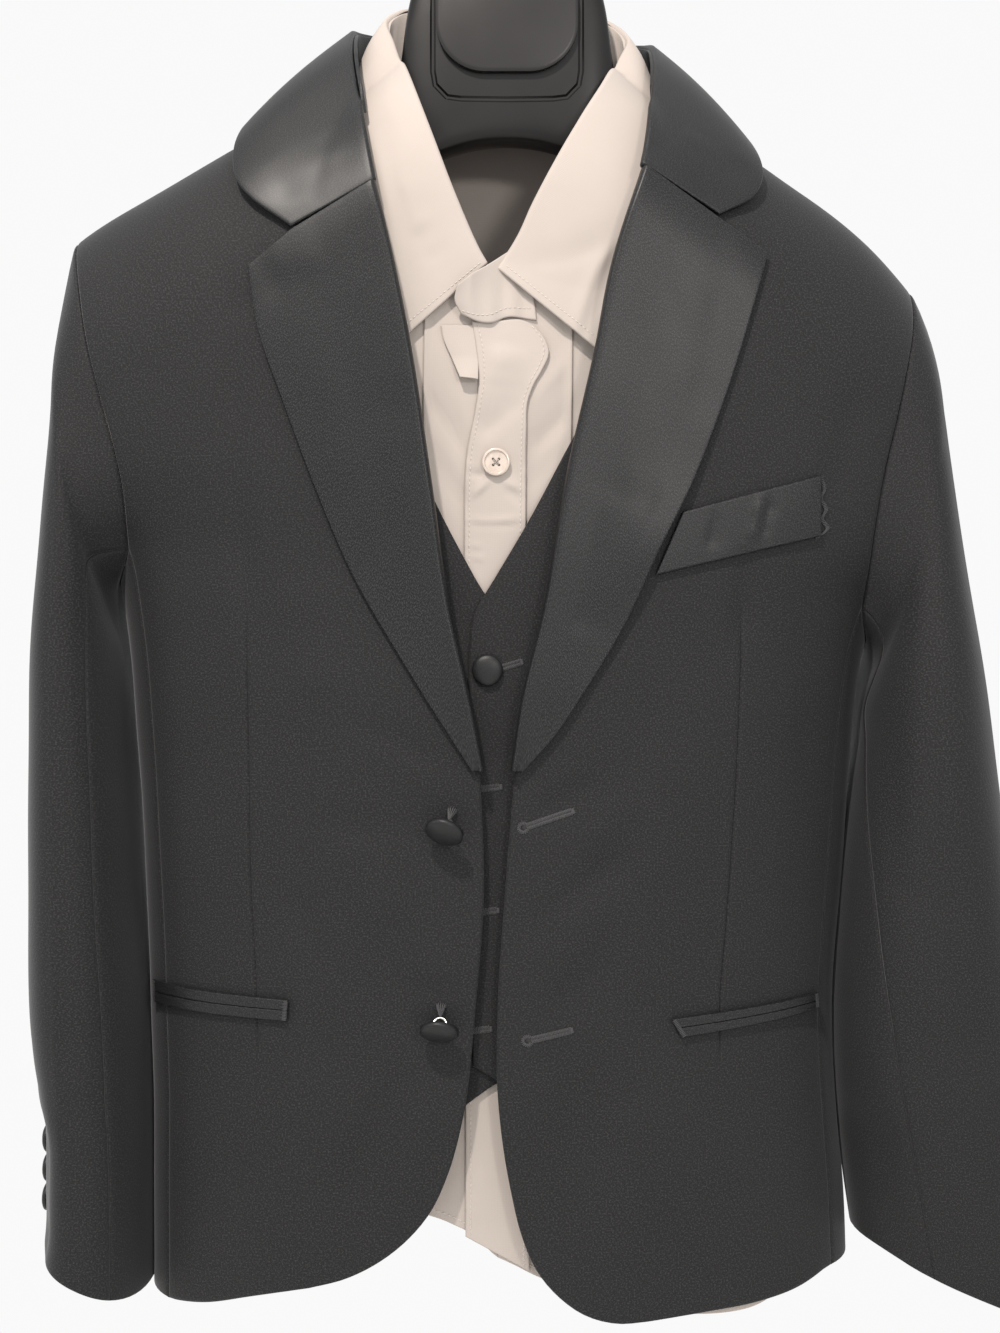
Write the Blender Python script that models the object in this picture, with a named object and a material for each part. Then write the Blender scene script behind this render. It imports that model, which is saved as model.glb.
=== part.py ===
"""A boy's tuxedo on its hanger: jacket, waistcoat and dress shirt, one over the other.

Tables are in millimetres and degrees, meshes in metres. +Z is up and the front faces -Y.
Right and left are the wearer's, so right is -X. The origin is the inside top of the hook,
where a rail holds the part.
"""

import math

import bpy
import numpy as np

MM = 0.001

# Cloth thicknesses, and the gap that every seam keeps.
WOOL = 2.0
WAISTCOAT_WOOL = 1.6
SATIN = 1.6
SHIRTING = 1.0
STIFF_SHIRTING = 1.4
SEAM_GAP = 0.3

# The body that the garments hang round is a flattened oval that closes up at the shoulders.
ROUNDNESS = 2.4
SHOULDER_ROUND = 80.0
SIDE_SEAM = 66.5

# Height, half width on the right and on the left, depth in front and behind, of the jacket.
BODY = (
    (-640, 153, 147, 60, 54),
    (-597, 153, 145.5, 60, 53),
    (-560, 153, 143, 59, 51),
    (-517, 154, 141, 58, 50),
    (-464, 156, 144.5, 58, 50),
    (-403, 160, 149, 59, 52),
    (-375, 162, 152, 60, 53),
    (-345, 166, 161, 60, 54),
    (-322, 171, 180, 60, 54),
    (-305, 186, 190, 60, 54),
    (-285, 206, 196, 60, 54),
    (-261, 218, 204, 60, 54),
    (-220, 230, 222, 59, 52),
    (-190, 236, 232, 58, 50),
    (-110, 240, 238, 52, 46),
)

# Distance from the middle, and the shoulder ridge's height there on the right and on the left.
SHOULDERS = (
    (0, -84, -86),
    (30, -92, -94),
    (56, -112, -115),
    (68, -121, -125),
    (115, -145, -158),
    (153, -167, -186),
    (178, -182, -214),
    (190, -191, -230),
    (240, -240, -300),
)

# How far a garment lies inside the jacket's outer face at the sides and in depth,
# and how far below its shoulder ridge.
LAYERS = {
    "jacket": (0.0, 0.0, 0.0),
    "waistcoat": (3.8, 8.5, 2.6),
    "shirt": (9.5, 12.5, 6.1),
}

# How far below a shoulder ridge the first two rows of every panel run.
CLOTH_ROWS = (5.5, 21.0)

MATERIALS = {
    "wool": ((0.022, 0.022, 0.024), 0.85, 0.0),
    "satin": ((0.035, 0.035, 0.038), 0.42, 0.0),
    "shirting": ((0.83, 0.76, 0.73), 0.75, 0.0),
    "shirt_button": ((0.86, 0.80, 0.76), 0.30, 0.0),
    "hanger_plastic": ((0.018, 0.015, 0.015), 0.35, 0.0),
    "steel": ((0.62, 0.62, 0.63), 0.25, 1.0),
}


def material(name):
    """The named finish, made once."""
    found = bpy.data.materials.get(name)
    if found:
        return found
    made = bpy.data.materials.new(name)
    made.use_nodes = True
    shader = made.node_tree.nodes["Principled BSDF"]
    colour, roughness, metallic = MATERIALS[name]
    shader.inputs["Base Color"].default_value = (*colour, 1.0)
    shader.inputs["Roughness"].default_value = roughness
    shader.inputs["Metallic"].default_value = metallic
    return made


def add_object(name, points, faces, finish):
    """One named piece from points in millimetres."""
    mesh = bpy.data.meshes.new(name)
    mesh.from_pydata((np.asarray(points) * MM).tolist(), [], faces)
    mesh.materials.append(material(finish))
    mesh.shade_smooth()
    mesh.set_sharp_from_angle(angle=math.radians(35))
    piece = bpy.data.objects.new(name, mesh)
    bpy.context.scene.collection.objects.link(piece)
    return piece


# Curves, tables and nets


def hermite(keys, values, tangents, at):
    """Smooth values between keys, from the values and slopes at the keys."""
    at = np.clip(at, keys[0], keys[-1])
    low = np.clip(np.searchsorted(keys, at, side="right") - 1, 0, len(keys) - 2)
    width = (keys[low + 1] - keys[low])[..., None]
    t = (at - keys[low])[..., None] / width
    return (
        (1 + 2 * t) * (1 - t) ** 2 * values[low]
        + t * (1 - t) ** 2 * width * tangents[low]
        + t * t * (3 - 2 * t) * values[low + 1]
        + t * t * (t - 1) * width * tangents[low + 1]
    )


def from_table(table, at):
    """A table's other columns at values of its first, joined by curves that never overshoot."""
    table = np.array(table, float)
    keys, values = table[:, 0], table[:, 1:]
    slopes = np.diff(values, axis=0) / np.diff(keys)[:, None]
    product = slopes[:-1] * slopes[1:]
    total = slopes[:-1] + slopes[1:]
    inside = np.where(product > 0, 2 * product / np.where(total == 0, 1, total), 0)
    tangents = np.vstack([slopes[:1], inside, slopes[-1:]])
    return hermite(keys, values, tangents, np.asarray(at, float))


def trace(points, shares):
    """A smooth curve through the points, at shares of its length or in that many equal steps."""
    points = np.array(points, float)
    if np.ndim(shares) == 0:
        shares = np.linspace(0, 1, shares + 1)
    keys = np.concatenate([[0], np.cumsum(np.linalg.norm(np.diff(points, axis=0), axis=1))])
    tangents = np.gradient(points, keys, axis=0)
    return hermite(keys, points, tangents, keys[-1] * shares)


def length_of(points):
    return np.linalg.norm(np.diff(points, axis=0), axis=1).sum()


def from_ridge(length, count):
    """Shares of an edge that starts at the shoulder ridge, with rows where the cloth turns over."""
    near, far = (row / length for row in CLOTH_ROWS)
    return np.concatenate([[0, near], np.linspace(far, 1, count - 1)])


def trace_from_ridge(points, count):
    return trace(points, from_ridge(length_of(points), count))


def chain(*curves):
    """Curves joined end to end, each starting where the last one stopped."""
    return np.vstack([curves[0]] + [curve[1:] for curve in curves[1:]])


def coons(top, bottom, left, right):
    """A net between four edges: rows run from top to bottom and columns from left to right."""
    s = np.linspace(0, 1, len(top))[None, :, None]
    fallen = [(edge[:, 1] - edge[0, 1]) / (edge[-1, 1] - edge[0, 1]) for edge in (left, right)]
    t = np.mean(fallen, axis=0)[:, None, None]
    across = (1 - s) * left[:, None] + s * right[:, None]
    down = (1 - t) * top[None] + t * bottom[None]
    corners = (1 - s) * (1 - t) * top[0] + s * (1 - t) * top[-1]
    corners = corners + (1 - s) * t * bottom[0] + s * t * bottom[-1]
    return across + down - corners


def unit(vectors):
    return vectors / np.maximum(np.linalg.norm(vectors, axis=-1, keepdims=True), 1e-9)


def net_normals(points, ring=False):
    """Outward directions of a net seen from outside: rows run down and columns to the right."""
    down = np.gradient(points, axis=0)
    if ring:
        right = np.roll(points, -1, axis=1) - np.roll(points, 1, axis=1)
    else:
        right = np.gradient(points, axis=1)
    return unit(np.cross(down, right))


# The body's surface


def shoulder_line(x):
    """Height and slope of the shoulder ridge at a distance from the middle."""
    rows = [from_table(SHOULDERS, np.abs(x + step)) for step in (-0.5, 0.0, 0.5)]
    side = (np.asarray(x) > 0).astype(int)[..., None]
    before, here, after = (np.take_along_axis(row, side, axis=-1)[..., 0] for row in rows)
    return here, after - before


def body_sizes(layer, x, z, behind):
    """Half width and depth of a garment at a height, and its shoulder ridge."""
    side_inset, depth_inset, drop = LAYERS[layer]
    right, left, front, back = np.moveaxis(from_table(BODY, z), -1, 0)
    half = np.where(np.asarray(x) < 0, right, left) - side_inset
    depth = np.where(behind, back, front) - depth_inset
    ridge, slope = shoulder_line(x)
    return half, depth, ridge - drop, slope


def angle_at(layer, outline, behind=False):
    """Outline points (x, z) as (angle, z): the angle runs from the front's middle, left positive."""
    x, z = np.array(outline, float).T
    half = body_sizes(layer, x, z, behind)[0]
    share = np.clip(np.abs(x) / half, 0, 1) ** (ROUNDNESS / 2)
    angle = np.degrees(np.arcsin(share))
    if behind:
        angle = 180 - angle
    return np.stack([np.where(x < 0, -1, 1) * angle, z], axis=-1)


def on_body(layer, net):
    """Points and outward directions on a garment's body for a net of (angle, z)."""
    angle, z = np.radians(net[..., 0]), net[..., 1]
    behind = np.cos(angle) < 0
    power = 2 / ROUNDNESS
    half = body_sizes(layer, np.sin(angle), z, behind)[0]
    x = half * np.sign(np.sin(angle)) * np.abs(np.sin(angle)) ** power
    half, depth, ridge, slope = body_sizes(layer, x, z, behind)
    above = 1 - np.clip((ridge - z) / SHOULDER_ROUND, 0, 1)
    side = np.abs(np.cos(angle)) ** power
    closing = np.sqrt(1 - above**2)
    facing = np.where(behind, 1, -1)
    points = np.stack([x, facing * depth * side * closing, z], axis=-1)
    # The outward direction is the gradient of the oval, which turns straight up at the ridge.
    full = side**ROUNDNESS
    out_x = closing**2 * (np.abs(x) / half) ** (ROUNDNESS - 1) * np.sign(x) / half
    out_x = out_x - above * slope * full / SHOULDER_ROUND
    out_y = facing * closing * side ** (ROUNDNESS - 1) / depth
    out_z = above * full / SHOULDER_ROUND
    return points, unit(np.stack([out_x, out_y, out_z], axis=-1))


# Walls


def seam_eased(points):
    """The net with its four edges drawn in by half a seam gap."""
    eased = points.copy()
    for edge, inner in ((0, 1), (-1, -2)):
        eased[edge] += unit(points[inner] - points[edge]) * SEAM_GAP / 2
        eased[:, edge] += unit(points[:, inner] - points[:, edge]) * SEAM_GAP / 2
    return eased


def wall(name, points, normals, thickness, finish):
    """A closed cloth wall: the outer net, the net moved inwards, and the rims between them."""
    rows, columns = points.shape[:2]
    outer = seam_eased(points)
    inner = outer - thickness * normals
    both = np.vstack([outer.reshape(-1, 3), inner.reshape(-1, 3)])
    back = rows * columns
    faces = []
    for i in range(rows - 1):
        for j in range(columns - 1):
            a = i * columns + j
            b, c, d = a + columns, a + columns + 1, a + 1
            faces.append((a, b, c, d))
            faces.append((back + a, back + d, back + c, back + b))
    rim = list(range(columns))
    rim += [i * columns + columns - 1 for i in range(1, rows)]
    rim += [(rows - 1) * columns + j for j in range(columns - 2, -1, -1)]
    rim += [i * columns for i in range(rows - 2, 0, -1)]
    # Neighbours share a rim's twist, so its diagonal always runs from the low outer point.
    for here, after in zip(rim, rim[1:] + rim[:1]):
        if both[here][2] < both[after][2]:
            faces += [(here, after, back + after), (here, back + after, back + here)]
        else:
            faces += [(here, after, back + here), (after, back + after, back + here)]
    return add_object(name, both, faces, finish)


def body_panel(name, layer, edges, thickness, finish, lift=None, edge_normals=()):
    """A cloth panel on a garment's body between four (angle, z) edges."""
    points, normals = on_body(layer, coons(*edges))
    if lift is not None:
        points = points + lift(points)[..., None] * normals
    for place, given in edge_normals:
        normals[place] = given
    return wall(name, points, normals, thickness, finish)


def laid(name, layer, edges, lift, thickness, finish):
    """A piece that lies on a garment: its edges are (x, z) outlines, moved out by lift."""
    net = coons(*[angle_at(layer, edge) for edge in edges])
    points, normals = on_body(layer, net)
    rise = lift(net) if callable(lift) else lift
    points = points + (np.asarray(rise)[..., None] + thickness) * normals
    return wall(name, points, normals, thickness, finish)


# Jacket outlines, in millimetres (x, z), from the neck down

SIDES = {"right": -1, "left": 1}

GORGE_START = {"right": (-54.5, -177), "left": (55.5, -171)}
NECK_POINT = {"right": (-68, -121), "left": (68, -125)}
NECK_EDGE = {
    "right": ((-54.5, -177), (-57, -160), (-61, -143), (-65, -129.5), (-68, -121)),
    "left": ((55.5, -171), (58, -157), (61.5, -143), (65, -132.5), (68, -125)),
}
BACK_NECK = {
    "right": ((0, -110), (-30, -112), (-56, -117), (-68, -121)),
    "left": ((0, -110), (30, -112.5), (56, -119), (68, -125)),
}
ROLL_LINE = {
    "right": (
        (-54.5, -177), (-46.8, -210), (-41, -239), (-31.8, -299),
        (-25, -346), (-15.4, -390), (-11, -413),
    ),
    "left": (
        (55.5, -171), (42.3, -214), (37, -242), (25.8, -292),
        (15.4, -351), (7.4, -384), (3, -413),
    ),
}
FRONT_EDGE = {
    "right": (
        (-11, -413), (-9.5, -462), (-13, -510), (-18, -553), (-24, -575), (-31, -590),
        (-40, -601), (-51, -610), (-64, -617), (-81, -622),
    ),
    "left": (
        (3, -413), (-1, -462), (-4, -510), (-4, -542), (1.5, -582), (6, -600),
        (12, -613.5), (21, -624), (31, -631), (43, -634.5), (57, -634),
    ),
}
HEM = {
    "right": ((-81, -622), (-106, -628), (-124, -633), (-141, -636)),
    "left": ((57, -634), (80, -632), (104, -630), (120, -627), (134, -622)),
}
ARMHOLE_FRONT = {
    "right": (
        (-189, -190), (-181, -212), (-173, -240), (-166, -262),
        (-161, -278), (-158, -300), (-158.5, -322),
    ),
    "left": (
        (180, -216), (173, -231), (167, -247), (160, -270),
        (154.5, -292), (150, -318), (147.5, -347),
    ),
}
ARMHOLE_BACK = {
    "right": (
        (-189, -190), (-179, -210), (-170, -236), (-164, -262),
        (-160, -285), (-158, -302), (-158.5, -322),
    ),
    "left": (
        (180, -216), (171, -230), (163, -250), (157, -272),
        (152, -295), (149, -320), (147.5, -347),
    ),
}
ARMPIT = {"right": -337, "left": -362}
SIDE_HEM = {"right": -635, "left": -622}
BACK_HEM = -625

# Net steps along each edge of the jacket's panels.
ARMHOLE_STEPS = 9
ARMPIT_STEPS = 8
SIDE_STEPS = 9
NECK_SHARES = (0, 0.35, 0.7, 0.92, 1)
SHOULDER_STEPS = 5
ROLL_STEPS = 10
EDGE_STEPS = 8
ARMHOLE_POINTS = ARMHOLE_STEPS + 1


def ridge_curve(layer, near, far, shares, behind=False):
    """The shoulder ridge between two distances from the middle, as (angle, z)."""
    if np.ndim(shares) == 0:
        shares = np.linspace(0, 1, shares + 1)
    x = near + (far - near) * shares
    height, _ = shoulder_line(x)
    return angle_at(layer, np.stack([x, height - LAYERS[layer][2]], axis=-1), behind)


def seam_down(angle, top, bottom, shares):
    """A seam that runs down the body at one angle, at shares of its length or in equal steps."""
    if np.ndim(shares) == 0:
        shares = np.linspace(0, 1, shares + 1)
    return np.stack([np.full(len(shares), angle), top + (bottom - top) * shares], axis=-1)


def jacket_edges(side):
    """Every shared edge of one half of the jacket, as (angle, z) curves."""
    sign = SIDES[side]
    armhole = trace_from_ridge(ARMHOLE_FRONT[side], ARMHOLE_STEPS)
    armhole_back = trace_from_ridge(ARMHOLE_BACK[side], ARMHOLE_STEPS)
    seam_top = armhole[-1][1]
    front_hem = HEM[side][-1][1]
    behind = 180 - SIDE_SEAM
    return {
        "armhole": angle_at("jacket", armhole),
        "armhole_back": angle_at("jacket", armhole_back, behind=True),
        "front_seam": seam_down(sign * SIDE_SEAM, seam_top, front_hem, SIDE_STEPS),
        "back_seam": seam_down(sign * behind, seam_top, SIDE_HEM[side], SIDE_STEPS),
    }


def meet_armhole(side, edges):
    """The armhole's last points moved exactly onto the side seams."""
    for name, seam in (("armhole", "front_seam"), ("armhole_back", "back_seam")):
        shift = edges[seam][0] - edges[name][-1]
        share = np.linspace(0, 1, len(edges[name]))[:, None] ** 4
        edges[name] = edges[name] + share * shift
    sign = SIDES[side]
    turn = np.linspace(-1, 1, ARMPIT_STEPS + 1)
    angle = sign * (90 + turn * (90 - SIDE_SEAM))
    rise = edges["front_seam"][0][1] - ARMPIT[side]
    edges["armpit"] = np.stack([angle, ARMPIT[side] + rise * np.abs(turn) ** 2.5], axis=-1)
    return edges


def armhole_ring(side, edges):
    """The whole armhole as a loop: shoulder, front, armpit, back."""
    loop = chain(edges["armhole"], edges["armpit"], edges["armhole_back"][::-1])[:-1]
    return on_body("jacket", loop)


# Sleeves. Each row is a section: its outer and inner points (x, z), half depth, middle's y,
# and how far it is twisted about the arm, from the armhole to the cuff.

SLEEVE_SECTIONS = {
    "right": (
        (-191.5, -218, -168, -346, 46, 0, 0),
        (-193.5, -258, -167, -355, 49, 0, 0),
        (-197.2, -305, -165.3, -366, 51, 0, 0),
        (-201.2, -360, -163.2, -386, 53, 0, 0),
        (-202.7, -415, -160.4, -426, 54, 0, 0),
        (-203.2, -470, -157.8, -473, 54, -1, 0),
        (-202.2, -515, -156, -519, 52, -3, 0),
        (-198.5, -550, -155, -556, 50, -5, 0),
        (-197, -580, -155, -594, 48, -6, 0),
        (-197.5, -613, -155, -634, 47, -7, 0),
    ),
    "left": (
        (183.5, -240, 157.5, -370, 44, 0, 20),
        (187.5, -268, 155, -378, 47, 0, 35),
        (192.7, -308, 152.5, -389, 50, -1, 45),
        (200.2, -357, 151.2, -404, 51, -3, 42),
        (207, -405, 149.2, -429, 50, -5, 32),
        (214, -460, 146.4, -466, 47, -7, 17),
        (221, -515, 143.6, -513, 44, -8, 2),
        (228.5, -572, 145.6, -560, 41, -9, -6),
        (237.5, -648, 149, -612, 37, -10, -10),
    ),
}
RING_SQUARENESS = 2.3
SLEEVE_SHIFT = 0.6
ARMHOLE_LENGTH = 200
SLEEVE_RINGS = 11
FRONT_SLEEVE_SEAM = 9
HIND_SLEEVE_SEAM = 21


def superellipse(angle, squareness):
    """Cosine and sine of a rounded oblong."""
    c, s = np.cos(angle), np.sin(angle)
    power = 2 / squareness
    return np.sign(c) * np.abs(c) ** power, np.sign(s) * np.abs(s) ** power


def sleeve_turns(columns):
    """How far round the arm each column stands, from the shoulder over the front."""
    down = from_ridge(ARMHOLE_LENGTH, columns // 2)
    return math.pi * np.concatenate([down, 2 - down[-2:0:-1]])


def sleeve_rings(side, first_ring, sections, slack, rings):
    """A sleeve's net, from the armhole's own ring through the sections to the cuff."""
    sign = SIDES[side]
    table = np.array(sections, float)
    keys = np.arange(len(table))
    tangents = np.gradient(table, axis=0)
    sizes = hermite(keys, table, tangents, np.linspace(0, len(table) - 1, rings))
    turn = sleeve_turns(len(first_ring))
    net = [first_ring]
    for outer_x, outer_z, inner_x, inner_z, depth, y, twist in sizes:
        middle = np.array([(outer_x + inner_x) / 2, y, (outer_z + inner_z) / 2])
        wide, tall = (outer_x - inner_x) / 2, (outer_z - inner_z) / 2
        reach = np.array([wide - sign * slack, 0, tall - slack])
        c, s = superellipse(turn + math.radians(twist), RING_SQUARENESS)
        front = np.array([0, -(depth - slack), 0])
        net.append(middle + c[:, None] * reach + s[:, None] * front)
    net = np.array(net)
    return net if sign < 0 else net[:, ::-1]


# What lies on the jacket

LAPEL_TOP = {
    "right": ((-104.3, -209.7), (-86.6, -195.6), (-54.5, -177.3)),
    "left": ((104.5, -205.0), (84.7, -191.6), (55.5, -171.8)),
}
LAPEL_EDGE = {
    "right": (
        (-104.3, -209.7), (-100.6, -233), (-89.5, -265.5), (-77, -299),
        (-61.8, -334.4), (-44.2, -365), (-29.4, -389), (-14, -413),
    ),
    "left": (
        (104.5, -204.6), (102, -214), (93.6, -243.4), (84.2, -271.3), (73, -299.2),
        (60.6, -323.6), (46.6, -354.4), (30.6, -381.2), (18.2, -399.6), (6, -413),
    ),
}
LAPEL_STEPS = (2, 2)
LAPEL_LIFT = 0.6
ROLL_RISE = 2.0

# From the left gorge round the neck to the right one: the fold's x, y, z, the outer edge's
# x and z, how far that edge stands off the jacket, and whether it lies behind.
COLLAR = (
    (55.5, -58, -169.3, 85, -189.3, 0.9, 0),
    (58, -46, -151, 99, -183, 2, 0),
    (60, -31, -131, 107.5, -173, 6.5, 0),
    (61.5, -15, -113, 107.5, -160, 8.5, 0),
    (62.5, 0, -102, 103, -149.5, 7.5, 0),
    (60, 17, -94, 96, -148, 5, 1),
    (48, 34, -88, 76, -146, 4, 1),
    (25, 43, -84, 42, -139, 3, 1),
    (0, 45, -82, 0, -135, 3, 1),
    (-26, 43, -83, -42, -138, 3, 1),
    (-50, 34, -86, -80, -143, 5, 1),
    (-63, 17, -89, -104, -147, 5, 1),
    (-65.5, 0, -95, -110, -148, 6, 0),
    (-64, -15, -107, -112, -157, 5, 0),
    (-61, -31, -128, -109, -171, 3.5, 0),
    (-58, -46, -152, -102, -182.5, 2.5, 0),
    (-54.5, -58, -176, -86.6, -194.5, 0.9, 0),
)
COLLAR_COLUMNS = 24
COLLAR_ARCH = 3.4
FOLD_ROOM = 1.8

# The same for the shirt's collar: the fold's x, y, z and the outer edge's x, y, z.
SHIRT_COLLAR = (
    (-3, -51, -210, 38, -53, -244),
    (5, -47, -197, 47, -51, -228),
    (11.4, -41, -183, 54, -47, -205),
    (23.8, -31, -159, 58, -38, -178),
    (32.6, -23, -143, 60, -29, -160),
    (41.4, -15, -127, 60, -19, -144),
    (49.4, -6, -108, 59.5, -9, -126),
    (54, 3, -96, 59, 4, -117),
    (49, 14, -86, 52, 14.5, -111),
    (32, 23, -78, 35, 24.5, -107),
    (0, 27, -74, 0, 30.5, -104),
    (-32, 23, -76, -36, 26, -106),
    (-49, 14, -80, -54, 15, -109),
    (-54, 3, -88, -59, 4, -115),
    (-50, -7, -101, -60, -9, -125),
    (-41, -19, -128, -60, -22, -149),
    (-31, -31.5, -156, -59, -36, -175),
    (-22.4, -40, -179, -56, -45, -203),
    (-13, -47, -201, -51, -49, -226),
    (-9, -49, -208, -46, -51, -241),
)
SHIRT_COLLAR_COLUMNS = 28

BREAST_WELT = (((70, -309), (127, -293.5)), ((59, -334.4), (127, -318)))
HIP_POCKETS = {
    "right": (((-142, -503.5), (-88.4, -506)), ((-142, -513), (-89, -514.5))),
    "left": (((66, -513), (128.6, -507)), ((70, -520.5), (129, -513.5))),
}
WELT_LIFT = 0.6

# Shirt outlines

# Net steps of the shirt's and the waistcoat's panels.
INNER_ARMHOLE_STEPS = 6
INNER_ARMPIT_STEPS = 3
INNER_SIDE_SHARES = np.array([0, 0.1, 0.22, 0.45, 0.72, 1])
SHIRT_SHOULDER_SHARES = (0, 0.12, 0.45, 0.8, 1)
SHIRT_NECK_SHARES = (0, 0.16, 0.32, 0.48, 0.64, 0.8, 0.94, 1)
BACK_NECK_SHARES = (0, 0.05, 0.2, 0.5, 0.8, 0.95, 1)
WAISTCOAT_COLUMNS = 8

# The angle at which the shirt's fronts meet under the placket.
SHIRT_MIDDLE = -0.74
SHIRT_NECK = {
    "right": ((-4, -222), (-24, -200), (-38, -172), (-48, -147), (-56, -117.3)),
    "left": ((-4, -222), (16, -203), (32, -174), (46, -149), (56, -120.3)),
}
SHIRT_ARMHOLE = {
    "right": ((-176, -186.4), (-165, -226), (-156, -257), (-151, -284), (-152, -306)),
    "left": ((168, -208), (158, -243), (151, -271), (147.5, -297), (148.5, -322)),
}
SHIRT_ARMPIT = {"right": -321, "left": -350}
SHIRT_HEM = {
    "right": ((-4, -612), (-17, -601), (-31, -595.5), (-60, -592), (-100, -594), (-130, -588)),
    "left": ((-4, -612), (8.5, -618), (40, -630), (75, -637), (100, -637), (124, -622)),
}
SHIRT_SIDE_HEM = {"right": -575, "left": -590}
SHIRT_BACK_NECK = ((56, -120.3), (30, -112), (0, -110), (-30, -111), (-56, -117.3))
SHIRT_TAIL = (
    (90, -590), (115, -608), (145, -618), (180, -620),
    (215, -616), (245, -600), (270, -575),
)
SHIRT_SLEEVE_SLACK = 5.0
SHIRT_SLEEVE_SHIFT = 0.96
SHIRT_SLEEVE_RINGS = 6
SHIRT_COLLAR_ARCH = 2.0
PLACKET = (((-13, -224), (6, -222)), ((-17, -603), (9, -617)))

# Waistcoat outlines

WAISTCOAT_EDGE = {
    "right": (
        (-72, -127), (-67, -165), (-62, -205), (-49, -256), (-32, -298.5), (-17.5, -327),
        (-8.9, -342), (-1, -352), (4, -366), (5, -400), (5, -470), (5, -536),
    ),
    "left": (
        (78, -134.8), (70, -165), (60, -200), (45, -248), (31.3, -270), (7.5, -314), (-8.9, -341.5),
        (-13.5, -349), (-15, -361), (-15, -400), (-15, -470), (-14, -533),
    ),
}
WAISTCOAT_ARMHOLE = {
    "right": ((-128, -155.3), (-120, -215), (-121, -270), (-134, -315)),
    "left": ((128, -170.5), (119, -230), (118, -285), (128, -330)),
}
WAISTCOAT_ARMPIT = -362
WAISTCOAT_HEM = {
    "right": ((5, -536), (-33, -557), (-75, -535), (-120, -515)),
    "left": ((-14, -533), (30, -556), (75, -537), (118, -517)),
}
WAISTCOAT_SIDE_HEM = -506
WAISTCOAT_BACK_NECK = ((78, -134.8), (40, -127), (0, -123), (-40, -125), (-72, -127))
WAISTCOAT_BACK_HEM = ((90, -506), (180, -500), (270, -506))
WRAP_RISE = 2.1
WRAP_REACH = (12.0, 55.0)

# Buttons: where each is sewn (x, z) and the diameters of the four kinds.

WAISTCOAT_BUTTONS = ((-8, -372.5), (-17, -422), (-18, -472), (-21, -520))
WAISTCOAT_BUTTON = 12.5
SHIRT_BUTTON_AT = (-4.6, -288)
SHIRT_BUTTON = 11.2
CUFF_BUTTON = 11.8
CUFF_BUTTONS = {"right": (-575.0, -587.5, -600.0), "left": (-598.0, -611.0, -624.0)}
JACKET_BUTTON = 15.6
SHANK_LENGTH = 10.0
SHANK_WIDTH = 2.6

# The jacket's buttons hang forward on their shanks: how far each is turned down and to the right.
JACKET_BUTTONS = {"upper": (-22, -428.2, 50, 20), "lower": (-26.5, -506.5, 54, 4)}

# A covered button's outline from its back to its middle, as shares of its radius and height.
COVERED = ((0.92, 0.0), (1.0, 0.3), (0.86, 0.68), (0.5, 0.94), (0.18, 1.0))
BUTTON_STEPS = 10

# Hanger. The plate between the arms: distance from the middle, top, bottom, half depth.
HANGER_PLATE = (
    (0, -56, -144.6, 9),
    (14, -56.3, -145.6, 9),
    (26, -58, -149.4, 9),
    (34, -62, -152.5, 9),
    (40, -71, -154.5, 8),
    (44, -88, -155.5, 6.5),
    (45.5, -106, -156.5, 5.6),
    (49.2, -122.5, -158, 6),
)
# The arms follow the shoulders: distance from the middle, height, half depth.
HANGER_ARM = (
    (58, 28, 9), (70, 27, 11), (90, 24, 13.5), (115, 21, 15.5),
    (135, 19, 16), (143, 17, 15.5), (147, 11, 11),
)
HANGER_GAP = 0.85
PLATE_SQUARENESS = 5.0
ARM_SQUARENESS = 2.4
HANGER_ROUND = 12
PAD_HALF_WIDTH = 30.5
PAD_TOP = -64.0
PAD_BOTTOM = -115.0
PAD_CORNER = 12.0
PAD_RISE = 2.0
HOOK_WIRE = 5.0
HOOK_INSIDE = 19.0
HOOK_STEPS = 19


# Making


def make_jacket():
    for side, sign in SIDES.items():
        edges = meet_armhole(side, jacket_edges(side))
        loop, loop_normals = armhole_ring(side, edges)
        outwards = np.array([sign * SLEEVE_SHIFT, 0, 0])
        net = sleeve_rings(side, loop + outwards, SLEEVE_SECTIONS[side], 0, SLEEVE_RINGS)
        normals = net_normals(net, ring=True)
        ring_normals = loop_normals if sign < 0 else loop_normals[::-1]
        normals[0] = unit(normals[0] + ring_normals)
        seam_normals = normals[0] if sign < 0 else normals[0][::-1]
        make_sleeve(side, net, normals)
        make_cuff_buttons(side, net, normals)
        make_jacket_front(side, edges, seam_normals)
        make_jacket_side(side, edges, seam_normals)
        make_jacket_back(side, edges, seam_normals)
        make_lapel(side)
        make_hip_welts(side)
    make_collar()
    laid("breast_welt", "jacket", quad(BREAST_WELT, 4, 2), WELT_LIFT, SATIN, "satin")


def make_sleeve(side, net, normals):
    """The top sleeve goes round the outside and the under sleeve faces the body."""
    columns = np.arange(net.shape[1])
    if side == "left":
        columns = columns[::-1]
    under = columns[FRONT_SLEEVE_SEAM : HIND_SLEEVE_SEAM + 1]
    top = np.concatenate([columns[HIND_SLEEVE_SEAM:], columns[: FRONT_SLEEVE_SEAM + 1]])
    for name, chosen in (("under_sleeve", under), ("top_sleeve", top)):
        if side == "left":
            chosen = chosen[::-1]
        wall(f"{name}_{side}", net[:, chosen], normals[:, chosen], WOOL, "wool")


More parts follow.
